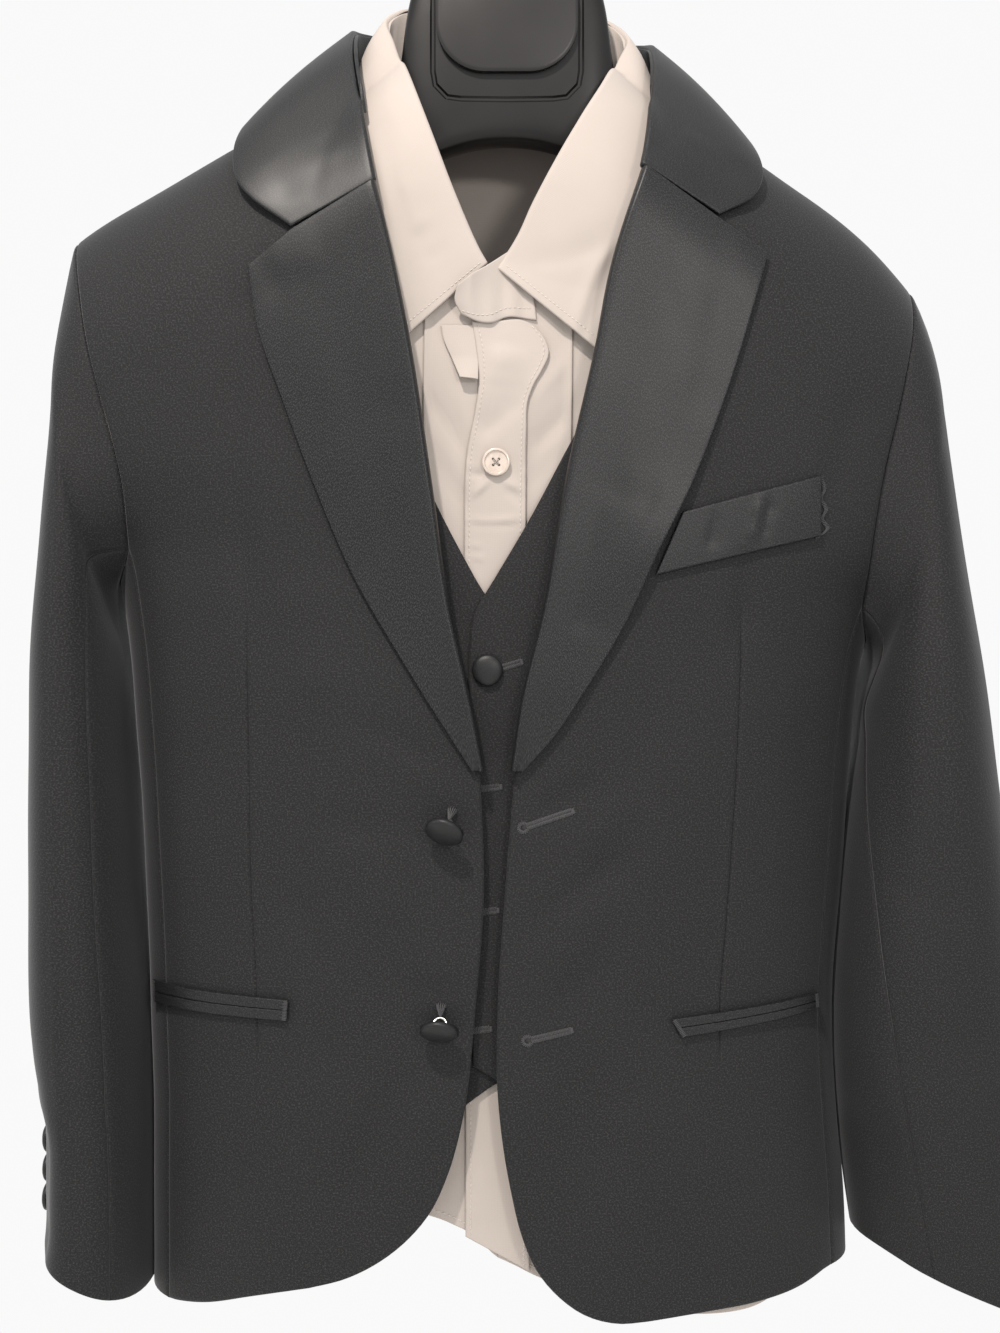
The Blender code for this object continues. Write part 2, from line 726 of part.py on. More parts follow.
def make_jacket_front(side, edges, seam_normals):
    neck = angle_at("jacket", trace(NECK_EDGE[side], np.array(NECK_SHARES)))
    tip = ARMHOLE_FRONT[side][0]
    shoulder = ridge_curve("jacket", NECK_POINT[side][0], tip[0], SHOULDER_STEPS)
    neck[-1] = shoulder[0]
    edges["armhole"][0] = shoulder[-1]
    top = chain(neck, shoulder)
    inner = chain(
        angle_at("jacket", trace_from_ridge(ROLL_LINE[side], ROLL_STEPS)),
        angle_at("jacket", trace(FRONT_EDGE[side], EDGE_STEPS)),
    )
    hem = angle_at("jacket", trace(HEM[side], len(top) - 1))
    hem[-1] = edges["front_seam"][-1]
    outer = chain(edges["armhole"], edges["front_seam"])
    front = as_seen(side, top, hem, inner, outer)
    arm_column = -1 if side == "left" else 0
    given = [((slice(0, ARMHOLE_POINTS), arm_column), seam_normals[:ARMHOLE_POINTS])]
    body_panel(f"jacket_front_{side}", "jacket", front, WOOL, "wool", edge_normals=given)


def make_jacket_side(side, edges, seam_normals):
    """The side panel goes from the front's seam under the armhole to the back's."""
    front, back = edges["front_seam"], edges["back_seam"]
    hem = np.linspace(front[-1], back[-1], ARMPIT_STEPS + 1)
    given = seam_normals[ARMHOLE_POINTS - 1 : ARMHOLE_POINTS + ARMPIT_STEPS]
    panel = (edges["armpit"], hem, front, back)
    if side == "right":
        panel = (panel[0][::-1], panel[1][::-1], back, front)
        given = given[::-1]
    body_panel(f"jacket_side_{side}", "jacket", panel, WOOL, "wool", edge_normals=[(0, given)])


def make_jacket_back(side, edges, seam_normals):
    """Each half of the back runs from the middle seam to the armhole and the side seam."""
    neck = angle_at("jacket", trace(BACK_NECK[side], np.array(NECK_SHARES)), behind=True)
    tip = ARMHOLE_FRONT[side][0]
    shoulder = ridge_curve("jacket", NECK_POINT[side][0], tip[0], SHOULDER_STEPS, behind=True)
    neck[-1] = shoulder[0]
    neck[0] = (SIDES[side] * 180, BACK_NECK[side][0][1])
    edges["armhole_back"][0] = shoulder[-1]
    top = chain(neck, shoulder)
    outer = chain(edges["armhole_back"], edges["back_seam"])
    rows = from_ridge(top[0][1] - BACK_HEM, len(outer) - 1)
    inner = seam_down(SIDES[side] * 180, top[0][1], BACK_HEM, rows)
    hem = np.linspace(inner[-1], outer[-1], len(top))
    back = as_seen(side, top, hem, inner, outer, behind=True)
    arm_column = 0 if side == "left" else -1
    back_normals = np.concatenate([seam_normals[:1], seam_normals[:-ARMHOLE_POINTS:-1]])
    given = [((slice(0, ARMHOLE_POINTS), arm_column), back_normals)]
    body_panel(f"jacket_back_{side}", "jacket", back, WOOL, "wool", edge_normals=given)


def make_lapel(side):
    """The facing turned back over the front, from its peak to the top button."""
    top = LAPEL_TOP[side]
    top = chain(trace(top[:2], LAPEL_STEPS[0]), trace(top[1:], LAPEL_STEPS[1]))
    outer = trace(LAPEL_EDGE[side], 14)
    roll = trace(ROLL_LINE[side], 14)
    bottom = np.linspace(outer[-1], roll[-1], len(top))
    share = np.linspace(0, 1, len(top))[None, :]
    edges = (top, bottom, outer, roll)
    if side == "left":
        edges = (top[::-1], bottom[::-1], roll, outer)
        share = share[:, ::-1]
    rise = np.repeat(LAPEL_LIFT + ROLL_RISE * share**2, len(roll), axis=0)
    laid(f"lapel_{side}", "jacket", edges, rise, SATIN, "satin")


def quad(corners, across, down):
    """The four edges of a straight-sided piece from its top and bottom edge."""
    (top_left, top_right), (bottom_left, bottom_right) = corners
    return (
        np.linspace(top_left, top_right, across + 1),
        np.linspace(bottom_left, bottom_right, across + 1),
        np.linspace(top_left, bottom_left, down + 1),
        np.linspace(top_right, bottom_right, down + 1),
    )


def make_hip_welts(side):
    """Each hip pocket is a slit between an upper and a lower welt."""
    (top_left, top_right), (low_left, low_right) = np.array(HIP_POCKETS[side], float)
    middle_left, middle_right = (top_left + low_left) / 2, (top_right + low_right) / 2
    upper = ((top_left, top_right), (middle_left, middle_right))
    lower = ((middle_left, middle_right), (low_left, low_right))
    for name, corners in (("upper", upper), ("lower", lower)):
        laid(f"hip_welt_{name}_{side}", "jacket", quad(corners, 6, 1), WELT_LIFT, SATIN, "satin")


def clear_of_body(layer, points, clearance):
    """Points that lie too near a garment's body are moved straight out from it."""
    x, y, z = np.moveaxis(points, -1, 0)
    behind = y > 0
    half, depth, ridge, _ = body_sizes(layer, x, z, behind)
    above = 1 - np.clip((ridge - z) / SHOULDER_ROUND, 0, 1)
    side = (1 - np.clip(np.abs(x) / half, 0, 1) ** ROUNDNESS) ** (1 / ROUNDNESS)
    reach = depth * side * np.sqrt(1 - above**2)
    wanted = np.where(ridge > z, reach + clearance, 0)
    moved = points.copy()
    moved[..., 1] = np.where(behind, 1, -1) * np.maximum(np.abs(y), wanted)
    return moved


def folded_strip(fold, edge, shares, arch):
    """A strip from a collar's fold out to its edge, arched upwards between them."""
    rows = []
    along = unit(np.gradient(fold, axis=0))
    up = unit(np.cross(edge - fold, along))
    # The arch dies away at both ends, where the collar lies flat.
    place = np.linspace(0, 1, len(fold))
    rise = arch * np.clip(6 * np.minimum(place, 1 - place), 0, 1)[:, None]
    for share in shares:
        rows.append(fold + share * (edge - fold) + 4 * share * (1 - share) * rise * up)
    return np.array(rows)


def make_collar():
    """The satin collar: a stand up the neck, and the fall that folds over it."""
    table = np.array(COLLAR, float)
    ends = angle_at("jacket", table[:, 3:5])
    behind = table[:, 6] > 0
    ends[behind] = angle_at("jacket", table[behind, 3:5], behind=True)
    ends[np.abs(table[:, 3]) < 1, 0] = 180
    points, normals = on_body("jacket", ends)
    edge = points + (table[:, 5:6] + SATIN) * normals
    both = trace(np.hstack([table[:, :3], edge]), COLLAR_COLUMNS)
    fold, edge = both[:, :3], both[:, 3:]
    net = folded_strip(fold, edge, (0, 0.15, 0.45, 0.75, 1), COLLAR_ARCH)
    net = clear_of_body("jacket", net, SATIN + 1.2)
    wall("collar_fall", net, net_normals(net), SATIN, "satin")
    neck = chain(
        on_neck("jacket", NECK_EDGE["left"]),
        on_neck("jacket", BACK_NECK["left"][::-1], behind=True),
        on_neck("jacket", BACK_NECK["right"], behind=True),
        on_neck("jacket", NECK_EDGE["right"][::-1]),
    )
    make_stand("collar_stand", fold, neck, SATIN, "satin", margin=3)


def on_neck(layer, outline, behind=False):
    """A neckline outline (x, z) as points on the garment's body."""
    outline = trace(outline, 10)
    return on_body(layer, angle_at(layer, outline, behind))[0]


def make_stand(name, fold, neck, thickness, finish, margin):
    """A band that rises from a neckline to just inside the collar's fold."""
    foot = trace(neck, len(fold) - 1)
    top = fold - unit(fold - foot) * FOLD_ROOM
    net = np.array([top, (top + foot) / 2, foot + unit(top - foot) * 2 * SEAM_GAP])
    net = net[:, margin : len(fold) - margin]
    normals = net_normals(net)
    wall(name, net - FOLD_ROOM * normals, normals, thickness, finish)


def as_seen(side, top, bottom, inner, outer, behind=False):
    """A panel's edges as seen from outside, from its inner (middle) and outer (arm) edges."""
    if (side == "left") != behind:
        return top, bottom, inner, outer
    return top[::-1], bottom[::-1], outer, inner


def arm_edge(layer, side, outline, armpit, hem, behind=False):
    """From the shoulder's end round the armhole to the armpit, then down the side seam."""
    angle = SIDES[side] * 90
    armhole = angle_at(layer, trace_from_ridge(outline, INNER_ARMHOLE_STEPS), behind)
    under = np.linspace(armhole[-1], (angle, armpit), INNER_ARMPIT_STEPS + 1)
    return chain(armhole, under, seam_down(angle, armpit, hem, INNER_SIDE_SHARES))


def wrapped(curve):
    """A curve whose angles count on past the back's middle, for a back made in one piece."""
    return np.stack([np.mod(curve[:, 0], 360), curve[:, 1]], axis=-1)


def one_piece_back(layer, outlines, neck, armpits, side_hems, hem, shoulder, thickness, finish):
    """A back from armhole to armhole: outlines are the two armholes, hem is (angle, z)."""
    arms, shoulders = {}, {}
    for side, outline in outlines.items():
        arms[side] = arm_edge(layer, side, outline, armpits[side], side_hems[side], behind=True)
        near = neck[0][0] if side == "left" else neck[-1][0]
        shoulders[side] = ridge_curve(layer, near, outline[0][0], shoulder, behind=True)
        arms[side][0] = shoulders[side][-1]
    neckline = wrapped(angle_at(layer, trace(neck, np.array(BACK_NECK_SHARES)), behind=True))
    neckline[0], neckline[-1] = shoulders["left"][0], wrapped(shoulders["right"])[0]
    top = chain(shoulders["left"][::-1], neckline, wrapped(shoulders["right"]))
    turn = np.linspace(90, 270, len(top))
    bottom = np.stack([turn, from_table(hem, turn)[:, 0]], axis=-1)
    edges = (top, bottom, arms["left"], wrapped(arms["right"]))
    body_panel(f"{layer}_back", layer, edges, thickness, finish)


def make_shirt():
    for side in SIDES:
        make_shirt_front(side)
        make_shirt_sleeve(side)
    one_piece_back(
        "shirt", SHIRT_ARMHOLE, SHIRT_BACK_NECK, SHIRT_ARMPIT, SHIRT_SIDE_HEM,
        SHIRT_TAIL, np.array(SHIRT_SHOULDER_SHARES), SHIRTING, "shirting",
    )
    laid("shirt_placket", "shirt", quad(PLACKET, 1, 14), 0.4, STIFF_SHIRTING, "shirting")
    table = trace(SHIRT_COLLAR, SHIRT_COLLAR_COLUMNS)
    fold, edge = table[:, :3], table[:, 3:]
    net = folded_strip(fold, edge, (0, 0.2, 0.6, 1), SHIRT_COLLAR_ARCH)
    net = clear_of_body("shirt", net, STIFF_SHIRTING + 2.5)
    wall("shirt_collar", net, net_normals(net), STIFF_SHIRTING, "shirting")
    neck = chain(
        on_neck("shirt", SHIRT_NECK["left"]),
        on_neck("shirt", SHIRT_BACK_NECK, behind=True),
        on_neck("shirt", SHIRT_NECK["right"][::-1]),
    )
    make_stand("shirt_neckband", fold, neck, STIFF_SHIRTING, "shirting", margin=0)


def make_shirt_front(side):
    near = SHIRT_NECK[side][-1][0]
    outer = arm_edge("shirt", side, SHIRT_ARMHOLE[side], SHIRT_ARMPIT[side], SHIRT_SIDE_HEM[side])
    neck = angle_at("shirt", trace(SHIRT_NECK[side], np.array(SHIRT_NECK_SHARES)))
    far = SHIRT_ARMHOLE[side][0][0]
    shoulder = ridge_curve("shirt", near, far, np.array(SHIRT_SHOULDER_SHARES))
    neck[-1], outer[0] = shoulder[0], shoulder[-1]
    top = chain(neck, shoulder)
    low = SHIRT_HEM[side][0][1]
    inner = seam_down(SHIRT_MIDDLE, top[0][1], low, from_ridge(top[0][1] - low, len(outer) - 1))
    hem = trace(np.vstack([angle_at("shirt", SHIRT_HEM[side]), outer[-1]]), len(top) - 1)
    top[0], hem[0] = inner[0], inner[-1]
    panel = as_seen(side, top, hem, inner, outer)
    body_panel(f"shirt_front_{side}", "shirt", panel, SHIRTING, "shirting")


def make_shirt_sleeve(side):
    """The shirt's sleeve lies inside the jacket's and ends above its cuff."""
    around = []
    outline = SHIRT_ARMHOLE[side]
    tip = outline[0][0]
    for behind in (False, True):
        edge = arm_edge("shirt", side, outline, SHIRT_ARMPIT[side], SHIRT_SIDE_HEM[side], behind)
        edge[0] = ridge_curve("shirt", tip, tip, 1, behind)[0]
        around.append(edge[: INNER_ARMHOLE_STEPS + INNER_ARMPIT_STEPS + 1])
    loop, _ = on_body("shirt", chain(around[0], around[1][::-1])[:-1])
    loop = loop + np.array([SIDES[side] * SHIRT_SLEEVE_SHIFT, 0, 0])
    sections = SLEEVE_SECTIONS[side][:-1]
    net = sleeve_rings(side, loop, sections, SHIRT_SLEEVE_SLACK, SHIRT_SLEEVE_RINGS)
    tube(f"shirt_sleeve_{side}", net, SHIRTING, "shirting")


def tube(name, points, thickness, finish):
    """A closed cloth wall round an arm, open at both ends."""
    rows, columns = points.shape[:2]
    inner = points - thickness * net_normals(points, ring=True)
    both = np.vstack([points.reshape(-1, 3), inner.reshape(-1, 3)])
    back = rows * columns
    low = back - columns
    faces = []
    for j in range(columns):
        after = (j + 1) % columns
        for i in range(0, back - columns, columns):
            a, b, c, d = i + j, i + columns + j, i + columns + after, i + after
            faces += [(a, b, c, d), (back + a, back + d, back + c, back + b)]
        faces.append((j, after, back + after, back + j))
        faces.append((low + after, low + j, back + low + j, back + low + after))
    return add_object(name, both, faces, finish)


def make_waistcoat():
    for side in SIDES:
        make_waistcoat_front(side)
    armpits = {side: WAISTCOAT_ARMPIT for side in SIDES}
    hems = {side: WAISTCOAT_SIDE_HEM for side in SIDES}
    one_piece_back(
        "waistcoat", WAISTCOAT_ARMHOLE, WAISTCOAT_BACK_NECK, armpits, hems,
        WAISTCOAT_BACK_HEM, 3, WAISTCOAT_WOOL, "wool",
    )


def wrap_lift(points):
    """How far the left front is lifted where it laps over the right one."""
    share = (WRAP_REACH[1] - points[..., 0]) / (WRAP_REACH[1] - WRAP_REACH[0])
    share = np.clip(share, 0, 1)
    low = np.clip((-250 - points[..., 2]) / 60, 0, 1)
    return WRAP_RISE * low * share * share * (3 - 2 * share)


def make_waistcoat_front(side):
    outline = WAISTCOAT_ARMHOLE[side]
    outer = arm_edge("waistcoat", side, outline, WAISTCOAT_ARMPIT, WAISTCOAT_SIDE_HEM)
    edge = WAISTCOAT_EDGE[side]
    top = ridge_curve("waistcoat", edge[0][0], outline[0][0], WAISTCOAT_COLUMNS)
    outer[0] = top[-1]
    inner = angle_at("waistcoat", trace_from_ridge(edge, len(outer) - 1))
    inner[0] = top[0]
    hem = np.vstack([angle_at("waistcoat", WAISTCOAT_HEM[side]), outer[-1]])
    hem = trace(hem, WAISTCOAT_COLUMNS)
    hem[0] = inner[-1]
    lift = wrap_lift if side == "left" else None
    panel = as_seen(side, top, hem, inner, outer)
    body_panel(f"waistcoat_front_{side}", "waistcoat", panel, WAISTCOAT_WOOL, "wool", lift)


# Buttons


def ring_body(name, rings, finish):
    """A closed body through rings that each turn about the way the rings advance."""
    rings = np.array(rings)
    count, steps = rings.shape[:2]
    points = np.vstack([rings.reshape(-1, 3), rings[0].mean(axis=0), rings[-1].mean(axis=0)])
    start, end = count * steps, count * steps + 1
    last = start - steps
    faces = []
    for j in range(steps):
        after = (j + 1) % steps
        for i in range(0, last, steps):
            faces.append((i + j, i + after, i + steps + after, i + steps + j))
        faces += [(start, after, j), (end, last + j, last + after)]
    return add_object(name, points, faces, finish)


def turned(name, base, axis, profile, finish):
    """A round body along an axis: the profile's rows are radius and height above the base."""
    axis = unit(np.array(axis, float))
    across = unit(np.cross(axis, (0.3, 0.2, 1.0)))
    up = np.cross(axis, across)
    turn = np.arange(BUTTON_STEPS)[:, None] * 2 * math.pi / BUTTON_STEPS
    circle = np.cos(turn) * across + np.sin(turn) * up
    rings = [base + height * axis + radius * circle for radius, height in profile]
    return ring_body(name, rings, finish)


def covered_profile(diameter, height, back=0.0):
    """The outline of a cloth-covered button whose back stands at a height above its base."""
    return [(radius * diameter / 2, back + share * height) for radius, share in COVERED]


def cloth_at(layer, x, z, thickness_above=0.0):
    """The point and outward direction on a garment's front, and as far out as what lies on it."""
    point, normal = on_body(layer, angle_at(layer, ((x, z), (x, z))))
    return point[0] + thickness_above * normal[0], normal[0]


def make_buttons():
    for number, (x, z) in enumerate(WAISTCOAT_BUTTONS, 1):
        base, axis = cloth_at("waistcoat", x, z, WRAP_RISE + SEAM_GAP)
        profile = covered_profile(WAISTCOAT_BUTTON, 3.4)
        turned(f"waistcoat_button_{number}", base, axis, profile, "satin")
    base, axis = cloth_at("shirt", *SHIRT_BUTTON_AT, 0.4 + STIFF_SHIRTING + SEAM_GAP)
    radius = SHIRT_BUTTON / 2
    profile = [(radius * 0.9, 0), (radius, 0.9), (radius * 0.92, 2.4), (radius * 0.76, 1.9)]
    turned("shirt_button", base, axis, profile, "shirt_button")
    for name, (x, z, down, aside) in JACKET_BUTTONS.items():
        base, _ = cloth_at("jacket", x, z, 1.4)
        tilt, lean = math.radians(down), math.radians(aside)
        hang = math.sin(tilt)
        axis = (-hang * math.sin(lean), -math.cos(tilt), -hang * math.cos(lean))
        shank = [(SHANK_WIDTH / 2, 0), (SHANK_WIDTH / 2, SHANK_LENGTH - 1)]
        profile = shank + covered_profile(JACKET_BUTTON, 4.4, SHANK_LENGTH - 1)
        turned(f"jacket_button_{name}", base, axis, profile, "satin")


def make_cuff_buttons(side, net, normals):
    """Three covered buttons in a row up the outside of a sleeve's cuff."""
    column = 0 if side == "right" else -1
    heights = net[::-1, column, 2]
    for number, z in enumerate(CUFF_BUTTONS[side], 1):
        base = [np.interp(z, heights, net[::-1, column, k]) for k in range(3)]
        axis = [np.interp(z, heights, normals[::-1, column, k]) for k in range(3)]
        base = np.array(base) + SEAM_GAP * 1.2 * unit(np.array(axis))
        profile = covered_profile(CUFF_BUTTON, 3.6)
        turned(f"cuff_button_{side}_{number}", base, axis, profile, "satin")


# Hanger


def under_cloth(x, y):
    """Height of the shirt's inside over the hanger's arms."""
    ridge, slope = shoulder_line(x)
    ridge = ridge - LAYERS["shirt"][2]
    half, depth, _, _ = body_sizes("shirt", x, ridge, y > 0)
    side = (1 - (np.abs(x) / half) ** ROUNDNESS) ** (1 / ROUNDNESS)
    below = np.array((0,) + CLOTH_ROWS)
    reach = depth * side * np.sqrt(1 - (1 - below / SHOULDER_ROUND) ** 2)
    fallen = np.interp(abs(y), reach, below)
    steep = below[1] / reach[1]
    return ridge - fallen - (SHIRTING + HANGER_GAP) * math.hypot(1, slope, steep)


def hanger_sections(sign):
    """The hanger's sections on one side, from the middle out."""
    turn = (np.arange(HANGER_ROUND) + 0.5) * 2 * math.pi / HANGER_ROUND
    rings = []
    for x, top, bottom, depth in HANGER_PLATE:
        c, s = superellipse(turn, PLATE_SQUARENESS)
        height = (top + bottom) / 2 + s * (top - bottom) / 2
        rings.append(np.stack([np.full(HANGER_ROUND, sign * x), depth * c, height], axis=-1))
    for x, tall, depth in HANGER_ARM:
        c, s = superellipse(turn, ARM_SQUARENESS)
        top = float(under_cloth(sign * x, 0.0))
        ring = []
        for y, share in zip(depth * c, s):
            height = top - tall / 2 + share * tall / 2
            ring.append((sign * x, y, min(height, float(under_cloth(sign * x, y)))))
        rings.append(np.array(ring))
    return rings


def make_hanger():
    right, left = hanger_sections(-1), hanger_sections(1)
    ring_body("hanger_body", right[:0:-1] + left, "hanger_plastic")
    make_pad()
    make_hook()


def make_pad():
    """A bare oval pad set on the front of the plate."""
    turn = np.radians(np.arange(0, 360, 30) + 15)
    c, s = superellipse(turn, 3.2)
    x = PAD_HALF_WIDTH * c
    z = (PAD_TOP + PAD_BOTTOM) / 2 + (PAD_TOP - PAD_BOTTOM) / 2 * s
    front = -HANGER_PLATE[0][3] - SEAM_GAP
    middle = (PAD_TOP + PAD_BOTTOM) / 2
    rings = []
    for y, share in ((front, 1.0), (front - 0.7 * PAD_RISE, 1.0), (front - PAD_RISE, 0.94)):
        depth = np.full(len(x), y)
        rings.append(np.stack([x * share, depth, middle + (z - middle) * share], axis=-1))
    ring_body("hanger_pad", rings, "hanger_plastic")


def make_hook():
    """A bent wire: a stem up from the plate, then a hook whose inside top is the origin."""
    radius = HOOK_INSIDE + HOOK_WIRE / 2
    turn = np.radians(np.linspace(-50, 195, 12))
    arc = np.stack([radius * np.cos(turn), radius * np.sin(turn) - HOOK_INSIDE], axis=-1)
    foot = HANGER_PLATE[0][1] + SEAM_GAP
    path = trace(np.vstack([((0, foot), (0, foot + 6), (4, foot + 14)), arc]), HOOK_STEPS)
    path = np.stack([path[:, 0], np.zeros(len(path)), path[:, 1]], axis=-1)
    side = np.array([0, 1, 0])
    out = unit(np.cross(side, np.gradient(path, axis=0)))
    out[0] = (1, 0, 0)
    turn = np.arange(8)[:, None] * math.pi / 4
    circles = [HOOK_WIRE / 2 * (np.cos(turn) * n + np.sin(turn) * side) for n in out]
    rings = [at + circle for at, circle in zip(path, circles)]
    ring_body("hanger_hook", rings, "steel")


def clear_scene():
    for old in list(bpy.data.objects):
        bpy.data.objects.remove(old)


clear_scene()
make_jacket()
make_shirt()
make_waistcoat()
make_buttons()
make_hanger()
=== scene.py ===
"""A boy's tuxedo on its hanger: cloth, sewing, buttons and hanger dressed over the solids.

Tables are in millimetres and degrees, finished meshes in metres. +Z is up and the front
faces -Y. Right and left are the wearer's, so right is -X.
"""

import math

import bpy
import numpy as np
from mathutils import Matrix, Vector


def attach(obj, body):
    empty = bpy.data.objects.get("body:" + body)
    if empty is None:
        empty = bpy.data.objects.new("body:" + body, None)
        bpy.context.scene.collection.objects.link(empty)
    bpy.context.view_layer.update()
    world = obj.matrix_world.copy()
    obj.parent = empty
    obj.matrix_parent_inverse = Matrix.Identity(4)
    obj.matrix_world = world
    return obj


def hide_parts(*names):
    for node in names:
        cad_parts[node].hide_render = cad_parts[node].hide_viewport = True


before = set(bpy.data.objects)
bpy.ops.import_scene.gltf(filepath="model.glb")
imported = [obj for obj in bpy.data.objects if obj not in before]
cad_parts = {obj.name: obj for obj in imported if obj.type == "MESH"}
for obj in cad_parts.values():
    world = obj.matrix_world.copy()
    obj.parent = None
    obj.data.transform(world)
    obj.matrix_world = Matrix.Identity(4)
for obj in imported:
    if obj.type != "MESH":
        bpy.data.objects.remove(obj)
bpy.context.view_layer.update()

MM = 0.001

# How far below a shoulder ridge the cloth still turns over.
TURN_OVER = 21.0

# Cloth thicknesses.
WOOL = 2.0
WAISTCOAT_WOOL = 1.6
SATIN = 1.6
SHIRTING = 1.0
STIFF_SHIRTING = 1.4
SEAM_GAP = 0.3

# The body that the garments hang round is a flattened oval that closes up at the shoulders. The
# jacket's side seams stand SIDE_SEAM degrees round from its front and from its back.
ROUNDNESS = 2.4
SHOULDER_ROUND = 80.0
SIDE_SEAM = 66.5

# Height, half width on the right and on the left, depth in front and behind, of the jacket.
BODY = (
    (-640, 153, 147, 60, 54),
    (-597, 153, 145.5, 60, 53),
    (-560, 153, 143, 59, 51),
    (-517, 154, 141, 58, 50),
    (-464, 156, 144.5, 58, 50),
    (-403, 160, 149, 59, 52),
    (-375, 162, 152, 60, 53),
    (-345, 166, 161, 60, 54),
    (-322, 171, 180, 60, 54),
    (-305, 186, 190, 60, 54),
    (-285, 206, 196, 60, 54),
    (-261, 218, 204, 60, 54),
    (-220, 230, 222, 59, 52),
    (-190, 236, 232, 58, 50),
    (-110, 240, 238, 52, 46),
)

# Distance from the middle, and the shoulder ridge's height there on the right and on the left.
SHOULDERS = (
    (0, -84, -86),
    (30, -92, -94),
    (56, -112, -115),
    (68, -121, -125),
    (115, -145, -158),
    (153, -167, -186),
    (178, -182, -214),
    (190, -191, -230),
    (240, -240, -300),
)

# How far a garment lies inside the jacket's outer face at the sides and in depth,
# and how far below its shoulder ridge.
LAYERS = {
    "jacket": (0.0, 0.0, 0.0),
    "waistcoat": (3.8, 8.5, 2.6),
    "shirt": (9.5, 12.5, 6.1),
}

# Finishes. Every colour is sRGB hex.

MAPPING = "ShaderNodeMapping"
NOISE = "ShaderNodeTexNoise"
WAVE = "ShaderNodeTexWave"
MIX = "ShaderNodeMix"
RANGE = "ShaderNodeMapRange"
MATH = "ShaderNodeMath"
BUMP = "ShaderNodeBump"


def linear(colour):
    """A hex colour as linear red, green, blue and alpha."""
    parts = [int(colour[i : i + 2], 16) / 255 for i in (1, 3, 5)]
    return [p / 12.92 if p <= 0.04045 else ((p + 0.055) / 1.055) ** 2.4 for p in parts] + [1.0]


def fill(tree, node, values):
    """Give a node's inputs their values: numbers, hex colours or other nodes' outputs."""
    for socket, value in values.items():
        if isinstance(value, bpy.types.NodeSocket):
            tree.links.new(value, node.inputs[socket])
        else:
            value = linear(value) if isinstance(value, str) else value
            node.inputs[socket].default_value = value


def add_node(tree, kind, output, values, **settings):
    """One node with its settings and values, given back as one of its outputs."""
    made = tree.nodes.new(kind)
    for name, value in settings.items():
        setattr(made, name, value)
    fill(tree, made, values)
    return made.outputs[output]


def new_finish(name, coordinates):
    """A new material, its tree, and the coordinates that its pattern follows."""
    made = bpy.data.materials.new(name)
    made.use_nodes = True
    tree = made.node_tree
    return made, tree, add_node(tree, "ShaderNodeTexCoord", coordinates, {})


def finished(made, values):
    """The material with its surface's numbers, colours and patterns."""
    tree = made.node_tree
    fill(tree, tree.nodes["Principled BSDF"], values)
    return made


def worsted_twill():
    """Wool-blend suiting: matt black, with a fine diagonal rib and a few paler fibres."""
    made, tree, place = new_finish("worsted_twill", "UV")
    # The rib is 0.5 mm in the real cloth and drawn at 1.9 mm, so that it shows.
    turned = {"Vector": place, "Rotation": (0, 0, math.radians(-27)), "Scale": (1000, 1000, 1000)}
    turned = add_node(tree, MAPPING, "Vector", turned)
    rib = {"Vector": turned, "Scale": 0.165, "Distortion": 3, "Detail": 3, "Detail Scale": 2.5}
    rib = add_node(tree, WAVE, "Fac", rib)
    fibres = add_node(tree, NOISE, "Fac", {"Vector": place, "Scale": 1500, "Detail": 4})
    cloud = add_node(tree, NOISE, "Fac", {"Vector": place, "Scale": 22, "Detail": 3})
    ground = add_node(tree, MIX, 2, {"Factor": cloud, 6: "#0b0b0c", 7: "#141415"}, data_type="RGBA")
    flecks = {"Value": fibres, "From Min": 0.48, "From Max": 0.7, "To Max": 0.6}
    flecks = add_node(tree, RANGE, "Result", flecks)
    ribbed = add_node(tree, RANGE, "Result", {"Value": rib, "From Min": 0.2, "To Max": 0.1})
    colour = add_node(tree, MIX, 2, {"Factor": ribbed, 6: ground, 7: "#28282a"}, data_type="RGBA")
    colour = add_node(tree, MIX, 2, {"Factor": flecks, 6: colour, 7: "#3c3c3e"}, data_type="RGBA")
    height = add_node(tree, MATH, "Value", {0: rib, 1: 0.25, 2: fibres}, operation="MULTIPLY_ADD")
    raised = add_node(tree, BUMP, "Normal", {"Height": height, "Strength": 0.3, "Distance": 0.0002})
    return finished(made, {
        "Base Color": colour, "Normal": raised, "Roughness": 0.75, "Specular IOR Level": 0.3,
        "Sheen Weight": 0.24, "Sheen Roughness": 0.4, "Sheen Tint": "#b9bbbf",
    })


